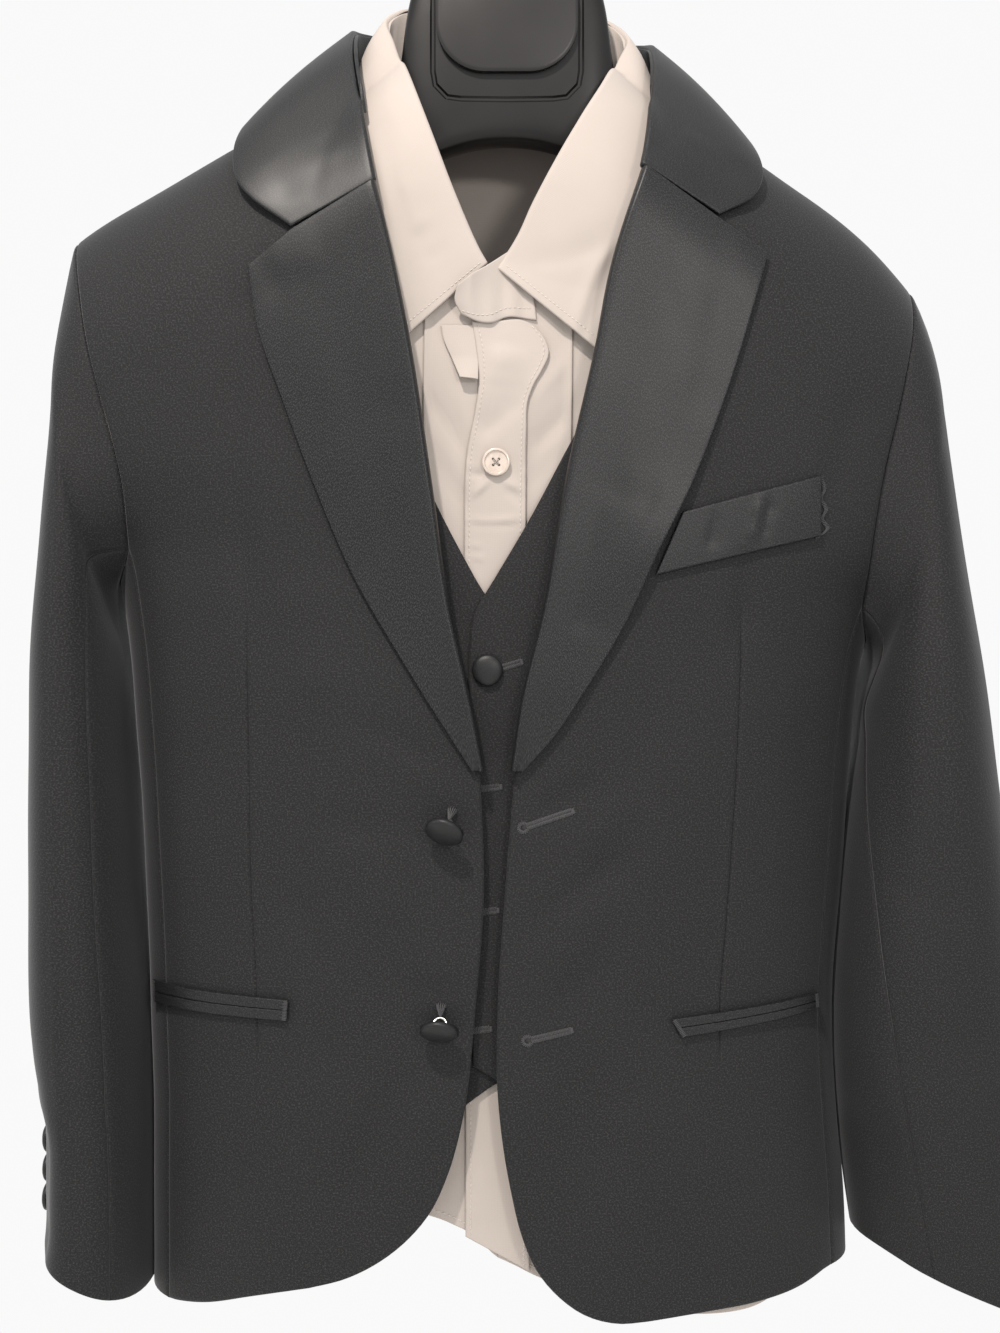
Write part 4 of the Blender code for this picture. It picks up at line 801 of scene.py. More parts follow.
def columns_along(layer, net, line):
    """The net with columns set along a line, and how far each of its points is moved out.

    A line is a curve (angle, z), a profile across it, and the heights where it starts and ends.
    """
    curve, profile, (start, end) = line
    across, heights = np.array(profile, float).T
    rows, columns = net.shape[:2]
    places = np.arange(columns)
    points, _ = on_body(layer, net)
    spacing = np.linalg.norm(np.gradient(points, axis=1), axis=-1)
    beyond = net[..., 0] - np.interp(net[..., 1], curve[::-1, 1], curve[::-1, 0])
    crossings = [np.interp(0, row, places) for row in beyond]
    middle = crossings[rows // 2]
    usual = spacing[rows // 2, int(middle)]
    clear = 1.35 * np.abs(across).max() + LINE_CLEAR
    regular = places[np.abs(places - middle) * usual > clear]
    order = np.argsort(np.concatenate([regular, middle + across / usual]))
    made, lifts = [], []
    for row, gaps, crossing in zip(net, spacing, crossings):
        here = int(np.clip(crossing, 0, columns - 1))
        z = row[here, 1]
        fade = np.clip(min(start - z, z - end) / LINE_FADE + 0.15, 0, 1)
        moved = np.interp(regular, (0, middle, columns - 1), (0, crossing, columns - 1))
        pressed = crossing + across / max(gaps[here], spacing[rows // 2, here])
        at = np.clip(np.concatenate([moved, pressed])[order], 0, columns - 1)
        made.append(np.stack([np.interp(at, places, column) for column in row.T], axis=-1))
        lifts.append(np.concatenate([0 * moved, heights * fade])[order])
    return np.array(made), np.array(lifts)


# Jacket outlines, in millimetres (x, z), from the neck down

SIDES = {"right": -1, "left": 1}

NECK_EDGE = {
    "right": ((-54.5, -177), (-57, -160), (-61, -143), (-65, -129.5), (-68, -121)),
    "left": ((55.5, -171), (58, -157), (61.5, -143), (65, -132.5), (68, -125)),
}
BACK_NECK = {
    "right": ((0, -110), (-30, -112), (-56, -117), (-68, -121)),
    "left": ((0, -110), (30, -112.5), (56, -119), (68, -125)),
}
ROLL_LINE = {
    "right": (
        (-54.5, -177), (-46.8, -210), (-41, -239), (-31.8, -299), (-25, -346), (-15.4, -390),
        (-11, -413),
    ),
    "left": (
        (55.5, -171), (42.3, -214), (37, -242), (25.8, -292), (15.4, -351), (7.4, -384), (3, -413)
    ),
}
FRONT_EDGE = {
    "right": (
        (-11, -413), (-9.5, -462), (-13, -510), (-18, -553), (-24, -575), (-31, -590),
        (-40, -601), (-51, -610), (-64, -617), (-81, -622),
    ),
    "left": (
        (3, -413), (-1, -462), (-4, -510), (-4, -542), (1.5, -582), (6, -600),
        (12, -613.5), (21, -624), (31, -631), (43, -634.5), (57, -634),
    ),
}
HEM = {
    "right": ((-81, -622), (-106, -628), (-124, -633), (-141, -636)),
    "left": ((57, -634), (80, -632), (104, -630), (120, -627), (134, -622)),
}
ARMHOLE_FRONT = {
    "right": (
        (-185.5, -187.6), (-179, -212), (-172.5, -240), (-166.5, -262), (-162, -278), (-158, -300),
        (-158.5, -322),
    ),
    "left": (
        (173.5, -209.1), (170, -229), (165.5, -247), (160, -270), (154.5, -292), (150, -318),
        (147.5, -347),
    ),
}
ARMHOLE_BACK = {
    "right": (
        (-185.5, -187.6), (-177, -210), (-170, -236), (-164, -262), (-160, -285), (-158, -302),
        (-158.5, -322),
    ),
    "left": (
        (173.5, -209.1), (169, -228), (163, -250), (157, -272), (152, -295), (149, -320),
        (147.5, -347),
    ),
}
ARMPIT = {"right": -337, "left": -362}
SIDE_HEM = {"right": -635, "left": -622}
BACK_HEM = -625


# Net steps along each edge of the jacket's panels.
ARMHOLE_STEPS = 40
ARMPIT_STEPS = 16
SIDE_STEPS = 92
NECK_STEPS = 16
SHOULDER_STEPS = 40
ROLL_STEPS = 66
EDGE_STEPS = ARMHOLE_STEPS + SIDE_STEPS - ROLL_STEPS
ARMHOLE_POINTS = ARMHOLE_STEPS + 1

# The darts in the fronts, from above the pocket up to the chest, as (x, z).
DARTS = {
    "right": ((-106.2, -359), (-105.4, -420), (-104.6, -460), (-102.6, -499)),
    "left": ((95.2, -358), (92.8, -420), (90, -462), (86.6, -503)),
}


def ridge_curve(layer, near, far, shares, behind=False):
    """The shoulder ridge between two distances from the middle, as (angle, z)."""
    x = np.linspace(near, far, shares + 1)
    height, _ = shoulder_line(x)
    return angle_at(layer, np.stack([x, height - LAYERS[layer][2]], axis=-1), behind)


def top_edge(layer, neck, neck_steps, tip, shoulder_steps, behind=False):
    """A panel's top: up the neck, then out along the shoulder ridge to the armhole's tip."""
    edge = angle_at(layer, trace(neck, neck_steps), behind)
    shoulder = ridge_curve(layer, neck[-1][0], tip[0], shoulder_steps, behind)
    return np.vstack([edge[:-1], shoulder])


def seam_down(angle, top, bottom, shares):
    """A seam that runs down the body at one angle, at shares of its length or in equal steps."""
    if np.ndim(shares) == 0:
        shares = np.linspace(0, 1, shares + 1)
    return np.stack([np.full(len(shares), angle), top + (bottom - top) * shares], axis=-1)


def jacket_edges(side):
    """Every shared edge of one half of the jacket, as (angle, z) curves."""
    sign = SIDES[side]
    armhole = angle_at("jacket", trace_from_ridge(ARMHOLE_FRONT[side], ARMHOLE_STEPS))
    back = angle_at("jacket", trace_from_ridge(ARMHOLE_BACK[side], ARMHOLE_STEPS), behind=True)
    top, hem = armhole[-1][1], HEM[side][-1][1]
    seam = seam_down(sign * SIDE_SEAM, top, hem, SIDE_STEPS)
    back_seam = seam_down(sign * (180 - SIDE_SEAM), top, SIDE_HEM[side], SIDE_STEPS)
    # The armhole's last points are moved exactly onto the side seams.
    share = np.linspace(0, 1, ARMHOLE_POINTS)[:, None] ** 4
    turn = np.linspace(-1, 1, ARMPIT_STEPS + 1)
    low = ARMPIT[side] + (top - ARMPIT[side]) * np.abs(turn) ** 2.5
    return {
        "armhole": armhole + share * (seam[0] - armhole[-1]),
        "armhole_back": back + share * (back_seam[0] - back[-1]),
        "armpit": np.stack([sign * (90 + turn * (90 - SIDE_SEAM)), low], axis=-1),
        "front_seam": seam,
        "back_seam": back_seam,
    }


def armhole_ring(edges):
    """The whole armhole as a loop: shoulder, front, armpit, back."""
    loop = chain(edges["armhole"], edges["armpit"], edges["armhole_back"][::-1])[:-1]
    return panel_points("jacket", loop)


# Sleeves. Each row is a section: its outer and inner points (x, z), half depth, middle's y,
# and how far it is twisted about the arm, from the armhole to the cuff.

SLEEVE_SECTIONS = {
    "right": (
        (-191.5, -218, -168, -346, 46, 0, 0),
        (-193.5, -258, -167, -355, 49, 0, 0),
        (-197.2, -305, -165.3, -366, 51, 0, 0),
        (-201.2, -360, -163.2, -386, 53, 0, 0),
        (-202.7, -415, -160.4, -426, 54, 0, 0),
        (-203.2, -470, -157.8, -473, 54, -1, 0),
        (-202.2, -515, -154, -519, 52, -3, 0),
        (-198.5, -550, -152.5, -556, 50, -5, 0),
        (-197, -580, -152, -594, 48, -6, 0),
        (-197.5, -613, -152, -634, 47, -7, 0),
    ),
    "left": (
        (183.5, -240, 157.5, -370, 44, 0, 20),
        (187.5, -268, 155, -378, 47, 0, 35),
        (192.7, -308, 152.5, -389, 50, -1, 45),
        (200.2, -357, 151.2, -404, 51, -3, 42),
        (207, -405, 147.5, -429, 50, -5, 32),
        (214, -460, 143.2, -466, 47, -7, 17),
        (221, -515, 139.8, -513, 44, -8, 2),
        (228.5, -572, 141.5, -560, 41, -9, -6),
        (237.5, -648, 149, -612, 37, -10, -10),
    ),
}
RING_SQUARENESS = 2.3
SLEEVE_SHIFT = 0.6

# A sleeve leaves its armhole's form in the head's share of its length, and in the first rows
# the body's creases give way to its own.
SLEEVE_RINGS = 118
SLEEVE_HEAD = 0.1
BLEND_ROWS = 16
ARMHOLE_LENGTH = 200

# A sleeve's long lines, down the armhole and to the armpit's middle, and the hind seam's line.
JACKET_LINES = (9, 4)
SHIRT_LINES = (6, 3)
HIND_SEAM_LINE = 5


def superellipse(angle, squareness):
    """Cosine and sine of a rounded oblong."""
    c, s = np.cos(angle), np.sin(angle)
    power = 2 / squareness
    return np.sign(c) * np.abs(c) ** power, np.sign(s) * np.abs(s) ** power


def long_lines(length, count):
    """Shares of an edge from the ridge at which a sleeve's long lines stand."""
    return np.concatenate([[0, 5.5 / length], np.linspace(21 / length, 1, count - 1)])


def sleeve_turns(outlines, lines, armhole_steps, armpit_steps):
    """How far round the arm each column stands, from the shoulder over the front."""
    halves = []
    turns = long_lines(ARMHOLE_LENGTH, sum(lines))
    for outline in outlines:
        length = distances(outline)[-1]
        shares = from_ridge(length, armhole_steps)
        down = np.interp(shares, long_lines(length, lines[0]), turns[: lines[0] + 1])
        at = np.linspace(lines[0], sum(lines), armpit_steps + 1)[1:]
        halves.append(np.concatenate([down, np.interp(at, np.arange(len(turns)), turns)]))
    front, hind = halves
    return math.pi * np.concatenate([front, 2 - hind[-2:0:-1]])


def sleeve_rings(side, first_ring, turn, sections, slack, rings):
    """A sleeve's net, from the armhole's own ring through the sections to the cuff."""
    sign = SIDES[side]
    table = np.array(sections, float)
    keys = np.arange(len(table))
    tangents = np.gradient(table, axis=0)
    sizes = hermite(keys, table, tangents, np.linspace(0, keys[-1], rings))
    net = []
    for outer_x, outer_z, inner_x, inner_z, depth, y, twist in sizes:
        middle = np.array([(outer_x + inner_x) / 2, y, (outer_z + inner_z) / 2])
        wide, tall = (outer_x - inner_x) / 2, (outer_z - inner_z) / 2
        reach = np.array([wide - sign * slack, 0, tall - slack])
        c, s = superellipse(turn + math.radians(twist), RING_SQUARENESS)
        front = np.array([0, -(depth - slack), 0])
        net.append(middle + c[:, None] * reach + s[:, None] * front)
    net = np.array(net)
    head = np.clip(1 - np.linspace(0, 1, rings) / SLEEVE_HEAD, 0, 1)[:, None, None]
    net = net + head ** np.array((4, 2, 2)) * (first_ring - net[0])
    return net if sign < 0 else net[:, ::-1]


def on_sleeve(net, normals, ring_rise):
    """The body's creases run on into the sleeve's head and give way to the sleeve's own."""
    share = np.clip(np.arange(len(net))[:, None] / BLEND_ROWS, 0, 1)
    rise = fold_lift(net, normals, "sleeves") + wave_lift(net)
    return (1 - share) * ring_rise + share * rise


def make_jacket(covered):
    for side, sign in SIDES.items():
        edges = jacket_edges(side)
        loop, loop_normals, loop_rise = armhole_ring(edges)
        outwards = np.array([sign * SLEEVE_SHIFT, 0, 0])
        outlines = (ARMHOLE_FRONT[side], ARMHOLE_BACK[side])
        turns = sleeve_turns(outlines, JACKET_LINES, ARMHOLE_STEPS, ARMPIT_STEPS // 2)
        sections = SLEEVE_SECTIONS[side]
        net = sleeve_rings(side, loop + outwards, turns, sections, 0, SLEEVE_RINGS)
        normals = net_normals(net, ring=True)
        if sign > 0:
            loop_normals, loop_rise = loop_normals[::-1], loop_rise[::-1]
        normals[0] = unit(normals[0] + loop_normals)
        seam_normals = normals[0] if sign < 0 else normals[0][::-1]
        face = net + on_sleeve(net, normals, loop_rise)[..., None] * normals
        make_sleeve(side, face, normals, turns)
        make_cuff_buttons(side, face, normals, covered)
        make_jacket_front(side, edges, seam_normals)
        make_jacket_side(side, edges, seam_normals)
        make_jacket_back(side, edges, seam_normals)
        make_lapel(side)
        make_hip_welts(side)
    make_collar()
    laid("breast_welt", "jacket", quad(*BREAST_WELT, 60, 24), WELT_LIFT, SATIN, "satin")


def make_sleeve(side, face, normals, turns):
    """The top sleeve goes round the outside and the under sleeve faces the body."""
    way = 1 if side == "right" else -1
    columns = np.arange(face.shape[1])[::way]
    hind = math.pi * (2 - long_lines(ARMHOLE_LENGTH, sum(JACKET_LINES))[HIND_SEAM_LINE])
    hind = int(np.argmin(np.abs(turns - hind)))
    under = columns[ARMHOLE_STEPS : hind + 1]
    top = np.concatenate([columns[hind:], columns[: ARMHOLE_STEPS + 1]])
    for name, chosen, outwards in (("under_sleeve", under, way), ("top_sleeve", top, -way)):
        chosen = chosen[::way]
        points = face[:, chosen]
        weave = hanging_places(points, SLEEVE_SECTIONS[side], outwards)
        cloth(f"{name}_{side}", points, normals[:, chosen], WOOL, "wool", HEMMED, weave)


def make_jacket_front(side, edges, seam_normals):
    tip = ARMHOLE_FRONT[side][0]
    top = top_edge("jacket", NECK_EDGE[side], NECK_STEPS, tip, SHOULDER_STEPS)
    edges["armhole"][0] = top[-1]
    inner = chain(
        angle_at("jacket", trace_from_ridge(ROLL_LINE[side], ROLL_STEPS)),
        angle_at("jacket", trace(FRONT_EDGE[side], EDGE_STEPS)),
    )
    hem = angle_at("jacket", trace(HEM[side], len(top) - 1))
    hem[-1] = edges["front_seam"][-1]
    outer = chain(edges["armhole"], edges["front_seam"])
    front = as_seen(side, top, hem, inner, outer)
    arm_column = -1 if side == "left" else 0
    given = [((slice(0, ARMHOLE_POINTS), arm_column), seam_normals[:ARMHOLE_POINTS])]
    sides = ("roll", "seam") if side == "left" else ("seam", "roll")
    dart = angle_at("jacket", trace(((DARTS[side][0][0], -100),) + DARTS[side], 40))
    span = (DARTS[side][0][1] + 8, DARTS[side][-1][1] - 30)
    body_panel(
        f"jacket_front_{side}", "jacket", front, WOOL, "wool",
        (("seam", "roll"), sides), (dart, DART, span), seam=given,
    )


def make_jacket_side(side, edges, seam_normals):
    """The side panel goes from the front's seam under the armhole to the back's."""
    front, back = edges["front_seam"], edges["back_seam"]
    hem = np.linspace(front[-1], back[-1], ARMPIT_STEPS + 1)
    given = seam_normals[ARMHOLE_POINTS - 1 : ARMHOLE_POINTS + ARMPIT_STEPS]
    panel = (edges["armpit"], hem, front, back)
    if side == "right":
        panel = (panel[0][::-1], hem[::-1], back, front)
        given = given[::-1]
    name = f"jacket_side_{side}"
    body_panel(name, "jacket", panel, WOOL, "wool", HEMMED, seam=[(0, given)])


def make_jacket_back(side, edges, seam_normals):
    """Each half of the back runs from the middle seam to the armhole and the side seam."""
    tip = ARMHOLE_FRONT[side][0]
    top = top_edge("jacket", BACK_NECK[side], NECK_STEPS, tip, SHOULDER_STEPS, behind=True)
    top[0] = (SIDES[side] * 180, BACK_NECK[side][0][1])
    edges["armhole_back"][0] = top[-1]
    outer = chain(edges["armhole_back"], edges["back_seam"])
    rows = from_ridge(top[0][1] - BACK_HEM, len(outer) - 1)
    inner = seam_down(SIDES[side] * 180, top[0][1], BACK_HEM, rows)
    hem = np.linspace(inner[-1], outer[-1], len(top))
    back = as_seen(side, top, hem, inner, outer, behind=True)
    arm_column = 0 if side == "left" else -1
    back_normals = np.concatenate([seam_normals[:1], seam_normals[:-ARMHOLE_POINTS:-1]])
    given = [((slice(0, ARMHOLE_POINTS), arm_column), back_normals)]
    body_panel(f"jacket_back_{side}", "jacket", back, WOOL, "wool", HEMMED, seam=given)


# What lies on the jacket

LAPEL_TOP = {
    "right": ((-104.3, -209.7), (-86.6, -195.6), (-54.5, -177.3)),
    "left": ((104.5, -205.0), (84.7, -191.6), (55.5, -171.8)),
}
LAPEL_EDGE = {
    "right": (
        (-104.3, -209.7), (-100.6, -233), (-89.5, -265.5), (-77, -299),
        (-61.8, -334.4), (-44.2, -365), (-29.4, -389), (-14, -413),
    ),
    "left": (
        (104.5, -204.6), (102, -214), (93.6, -243.4), (84.2, -271.3), (73, -299.2),
        (60.6, -323.6), (46.6, -354.4), (30.6, -381.2), (18.2, -399.6), (6, -413),
    ),
}

# How far a lapel stands off the front, how much more at its roll, and how far the roll swells.
LAPEL_LIFT = 1.3
ROLL_RISE = 2.0
ROLL_REACH = 2.0

# From the left gorge round the neck to the right one: the fold's x, y, z, the outer edge's
# x and z, how far that edge stands off the jacket, and whether it lies behind.
COLLAR = (
    (55.5, -58, -169.3, 85, -189.3, 1.6, 0),
    (59, -46, -151, 98, -182, 3, 0),
    (62, -31, -131, 103, -172, 4.5, 0),
    (64.5, -15, -113, 101.5, -159, 4.5, 0),
    (65, 0, -101, 97, -148.5, 4, 0),
    (61.5, 17, -94, 90, -146, 3.5, 1),
    (48, 34, -88, 74, -146, 3.5, 1),
    (25, 43, -84, 42, -139, 3, 1),
    (0, 45, -82, 0, -135, 3, 1),
    (-26, 43, -83, -42, -138, 3, 1),
    (-50, 34, -86, -80, -143, 5, 1),
    (-65, 17, -89, -101, -147, 5, 1),
    (-68.5, 0, -95, -108, -147, 5, 0),
    (-67.5, -15, -107, -111, -157, 5, 0),
    (-64, -31, -128, -110, -172, 4, 0),
    (-59.5, -46, -152, -103, -182.5, 3.2, 0),
    (-54.5, -58, -176, -86.6, -194.5, 1.6, 0),
)
COLLAR_ARCH = 2.2
FOLD_ROOM = 1.8

# Net steps along a collar, from its fold to its edge, and along the lapel's edges.
COLLAR_STEPS = (170, 20)
SHIRT_COLLAR_STEPS = (260, 34)
LAPEL_STEPS = 90

# The same for the shirt's collar: the fold's x, y, z and the outer edge's x, y, z.
SHIRT_COLLAR = (
    (-3, -51, -210, 38, -53, -244),
    (5, -47, -197, 47, -51, -228),
    (11.4, -41, -183, 54, -47, -205),
    (23.8, -31, -159, 58, -38, -178),
    (32.6, -23, -143, 61.5, -29, -160),
    (41.4, -15, -127, 63.5, -19, -143),
    (49.4, -6, -108, 64.5, -9, -124),
    (54, 3, -96, 62.5, 4, -115),
    (49, 14, -86, 53, 14.5, -111),
    (32, 23, -78, 35, 24.5, -107),
    (0, 27, -74, 0, 30.5, -104),
    (-32, 23, -76, -36, 26, -106),
    (-49, 14, -80, -55.5, 15, -108),
    (-54, 3, -88, -65, 4, -112),
    (-50, -7, -101, -66.5, -9, -122),
    (-41, -19, -128, -64, -22, -147),
    (-31, -31.5, -156, -60.5, -36, -174),
    (-22.4, -40, -179, -56, -45, -203),
    (-13, -47, -201, -51, -49, -226),
    (-9, -49, -208, -46, -51, -241),
)

# Where the left lapel rises over the breast welt, how far up and down, and how much.
WELT_HEIGHT = -322
WELT_REACH = 24
WELT_RISE = 2.3

# The welts' top and bottom edges, and how far they lie off the jacket.
BREAST_WELT = (((70, -309), (127, -293.5)), ((59, -334.4), (127, -318)))
HIP_POCKETS = {
    "right": (((-148, -503), (-88.4, -506)), ((-148, -512.5), (-89, -514.5))),
    "left": (((66, -513), (128.6, -507)), ((70, -520.5), (129, -513.5))),
}
WELT_LIFT = 0.6


def rolled(edge, away, normals, turns, reach, middle, half):
    """Rows that roll round past an edge on an oval, and their outward directions."""
    turns = np.radians(turns)[:, None, None]
    out, up = np.sin(turns), np.cos(turns)
    points = edge + reach * out * away + (middle + half * up) * normals
    return points, unit(out * away + up * normals)


def make_lapel(side):
    """The facing turned back over the front: its roll goes round the front's own edge."""
    first = trace(LAPEL_TOP[side][:2], 12)
    top = chain(first, trace(LAPEL_TOP[side][1:], 16))
    outer = trace(LAPEL_EDGE[side], LAPEL_STEPS)
    roll = trace(ROLL_LINE[side], LAPEL_STEPS)
    bottom = np.linspace(outer[-1], roll[-1], len(top))
    net = coons(*[angle_at("jacket", edge) for edge in (top, bottom, outer, roll)])
    base, normals, rise = panel_points("jacket", net)
    base = base + rise[..., None] * normals
    share = np.linspace(0, 1, net.shape[1])
    rise = SATIN + LAPEL_LIFT + ROLL_RISE * share**2 + fold_lift(base, normals, "lapels")
    if side == "left":
        over_welt = np.exp(-(((base[..., 2] - WELT_HEIGHT) / WELT_REACH) ** 2))
        rise = rise + WELT_RISE * over_welt * np.clip(1.4 - 2 * share, 0, 1)
    face = base + rise[..., None] * normals
    # The roll goes round the front's edge, from the lapel's face to the front's back.
    away = unit(base[:, -1] - base[:, -3])
    high = rise[:, -1:]
    turns = np.linspace(12, 150, 12)
    turned = rolled(
        base[:, -1], away, normals[:, -1], turns, ROLL_REACH, (high - WOOL) / 2, (high + WOOL) / 2
    )
    points, normals = (
        np.concatenate([flat, np.moveaxis(roll, 0, 1)], axis=1)
        for flat, roll in zip((face, normals), turned)
    )
    if side == "left":
        points, normals = points[:, ::-1], normals[:, ::-1]
    cloth(f"lapel_{side}", points, normals, SATIN * 0.8, "satin")


def quad(top, bottom, across, down):
    """The four edges of a straight-sided piece from its top and bottom edge."""
    rows = [np.linspace(*edge, across + 1) for edge in (top, bottom)]
    return *rows, *(np.linspace(*ends, down + 1) for ends in zip(top, bottom))


def laid(name, layer, edges, lift, thickness, finish):
    """A piece that lies on a garment: its edges are (x, z) outlines, moved out by lift."""
    net = coons(*[angle_at(layer, edge) for edge in edges])
    points, normals, rise = panel_points(layer, net, lift)
    rise = rise + thickness + fold_lift(points, normals, name)
    face = points + rise[..., None] * normals
    cloth(name, face, normals, thickness, finish)
    return face, normals


def make_hip_welts(side):
    """Each hip pocket is a slit between an upper and a lower welt."""
    top, bottom = np.array(HIP_POCKETS[side], float)
    middle = (top + bottom) / 2
    for name, edges in (("upper", (top, middle)), ("lower", (middle, bottom))):
        edges = quad(*edges, 36, 8)
        laid(f"hip_welt_{name}_{side}", "jacket", edges, WELT_LIFT, SATIN, "satin")


def clear_of_body(layer, points, clearance):
    """Points that lie too near a garment's body are moved straight out from it."""
    x, y, z = np.moveaxis(points, -1, 0)
    behind = y > 0
    half, depth, ridge, _ = body_sizes(layer, x, z, behind)
    above = 1 - np.clip((ridge - z) / SHOULDER_ROUND, 0, 1)
    side = (1 - np.clip(np.abs(x) / half, 0, 1) ** ROUNDNESS) ** (1 / ROUNDNESS)
    reach = depth * side * np.sqrt(1 - above**2)
    wanted = np.where(ridge > z, reach + clearance, 0)
    moved = points.copy()
    moved[..., 1] = np.where(behind, 1, -1) * np.maximum(np.abs(y), wanted)
    return moved


def folded_strip(fold, edge, steps, arch):
    """A strip from a collar's fold out to its edge, arched upwards between them."""
    along = unit(np.gradient(fold, axis=0))
    up = unit(np.cross(edge - fold, along))
    # The arch dies away at both ends, where the collar lies flat.
    place = np.linspace(0, 1, len(fold))
    rise = arch * np.clip(6 * np.minimum(place, 1 - place), 0, 1)[:, None]
    share = np.linspace(0, 1, steps + 1)[:, None, None]
    return fold + share * (edge - fold) + 4 * share * (1 - share) * rise * up


def collar_fall(name, net, thickness, finish):
    """The collar's outer leaf, which rolls over at its fold to meet the stand inside it."""
    normals = net_normals(net)
    face = net + fold_lift(net, normals, name)[..., None] * normals
    inwards = unit(net[0] - net[2])
    reach = thickness + 0.2
    turns = np.linspace(150, 15, 9)
    turned = rolled(face[0], inwards, normals[0], turns, reach, -reach, reach)
    points, directions = (np.concatenate(both) for both in zip(turned, (face, normals)))
    cloth(name, points, directions, thickness, finish)
    return face, normals


def make_collar():
    """The satin collar: a stand up the neck, and the fall that folds over it."""
    table = np.array(COLLAR, float)
    ends = angle_at("jacket", table[:, 3:5])
    behind = table[:, 6] > 0
    ends[behind] = angle_at("jacket", table[behind, 3:5], behind=True)
    ends[np.abs(table[:, 3]) < 1, 0] = 180
    points, normals = on_body("jacket", ends)
    edge = points + (table[:, 5:6] + SATIN) * normals
    along, across = COLLAR_STEPS
    fold, edge = np.hsplit(trace(np.hstack([table[:, :3], edge]), along), 2)
    net = folded_strip(fold, edge, across, COLLAR_ARCH)
    net = clear_of_body("jacket", net, SATIN + 1.2)
    collar_fall("collar_fall", net, SATIN, "satin")
    neck = chain(
        on_neck("jacket", NECK_EDGE["left"]),
        on_neck("jacket", BACK_NECK["left"][::-1], behind=True),
        on_neck("jacket", BACK_NECK["right"], behind=True),
        on_neck("jacket", NECK_EDGE["right"][::-1]),
    )
    make_stand("collar_stand", fold, neck, SATIN, "satin", margin=20)


def on_neck(layer, outline, behind=False):
    """A neckline outline (x, z) as points on the garment's body."""
    outline = trace(outline, 10)
    return on_body(layer, angle_at(layer, outline, behind))[0]


def make_stand(name, fold, neck, thickness, finish, margin):
    """A band that rises from a neckline to just inside the collar's fold."""
    foot = trace(neck, len(fold) - 1)
    top = fold - unit(fold - foot) * FOLD_ROOM
    share = np.linspace(0, 1, 9)[:, None, None]
    net = top + share * (foot + unit(top - foot) * 2 * SEAM_GAP - top)
    net = net[:, margin : len(fold) - margin]
    normals = net_normals(net)
    net = net - FOLD_ROOM * normals
    cloth(name, net, normals, thickness, finish)
    return net, normals


def as_seen(side, top, bottom, inner, outer, behind=False):
    """A panel's edges as seen from outside, from its inner (middle) and outer (arm) edges."""
    if (side == "left") != behind:
        return top, bottom, inner, outer
    return top[::-1], bottom[::-1], outer, inner


# Shirt

# Net steps of the shirt's and the waistcoat's panels.
INNER_ARMHOLE_STEPS = 36
INNER_ARMPIT_STEPS = 8
INNER_SIDE_STEPS = 76
SHIRT_SHOULDER_STEPS = 40
SHIRT_NECK_STEPS = 30
SHIRT_BACK_NECK_STEPS = 40
WAISTCOAT_COLUMNS = 40

# The angle at which the shirt's fronts meet under the placket.
SHIRT_MIDDLE = -0.74
SHIRT_NECK = {
    "right": ((-4, -222), (-24, -200), (-38, -172), (-48, -147), (-56, -117.3)),
    "left": ((-4, -222), (16, -203), (32, -174), (46, -149), (56, -120.3)),
}
SHIRT_ARMHOLE = {
    "right": ((-176, -186.4), (-165, -226), (-156, -257), (-151, -284), (-152, -306)),
    "left": ((168, -208), (158, -243), (151, -271), (147.5, -297), (148.5, -322)),
}
SHIRT_ARMPIT = {"right": -321, "left": -350}
SHIRT_HEM = {
    "right": ((-4, -612), (-17, -601), (-31, -595.5), (-60, -592), (-100, -594), (-130, -588)),
    "left": ((-4, -612), (8.5, -618), (40, -630), (75, -637), (100, -637), (124, -622)),
}
SHIRT_SIDE_HEM = {"right": -575, "left": -590}
SHIRT_BACK_NECK = ((56, -120.3), (30, -112), (0, -110), (-30, -111), (-56, -117.3))
SHIRT_TAIL = (
    (90, -590), (115, -608), (145, -618), (180, -620), (215, -616), (245, -600), (270, -575)
)
SHIRT_SLEEVE_SLACK = 5.0
SHIRT_SLEEVE_SHIFT = 0.96
SHIRT_COLLAR_ARCH = 2.0
PLACKET_LIFT = 0.4
PLACKET_RIGHT_EDGE = (
    (-14.5, -230.5), (-12.5, -243), (-11.6, -255), (-13.5, -269), (-16.2, -282), (-17.4, -297),
    (-17.5, -313), (-17.4, -400), (-17.2, -500), (-17, -603),
)
PLACKET_LEFT_EDGE = (
    (11, -232.5), (15.5, -238), (17, -243), (14.5, -250), (11, -256), (8.4, -263), (7.8, -275),
    (7.6, -300), (8, -400), (8.5, -500), (9, -617),
)

# The pressed tucks down the fronts, as (x, z), and which way their folded edge faces.
TUCKS = {
    "right": ((-33.8, -232), (-34.2, -270), (-32, -320)),
    "left": ((26.6, -230), (26.2, -270), (25, -330)),
}


def arm_edge(layer, side, outline, armpit, hem, behind=False):
    """From the shoulder's end round the armhole to the armpit, then down the side seam."""
    angle = SIDES[side] * 90
    armhole = angle_at(layer, trace_from_ridge(outline, INNER_ARMHOLE_STEPS), behind)
    under = np.linspace(armhole[-1], (angle, armpit), INNER_ARMPIT_STEPS + 1)
    return chain(armhole, under, seam_down(angle, armpit, hem, INNER_SIDE_STEPS))


def wrapped(curve):
    """A curve whose angles count on past the back's middle, for a back made in one piece."""
    return np.stack([np.mod(curve[:, 0], 360), curve[:, 1]], axis=-1)


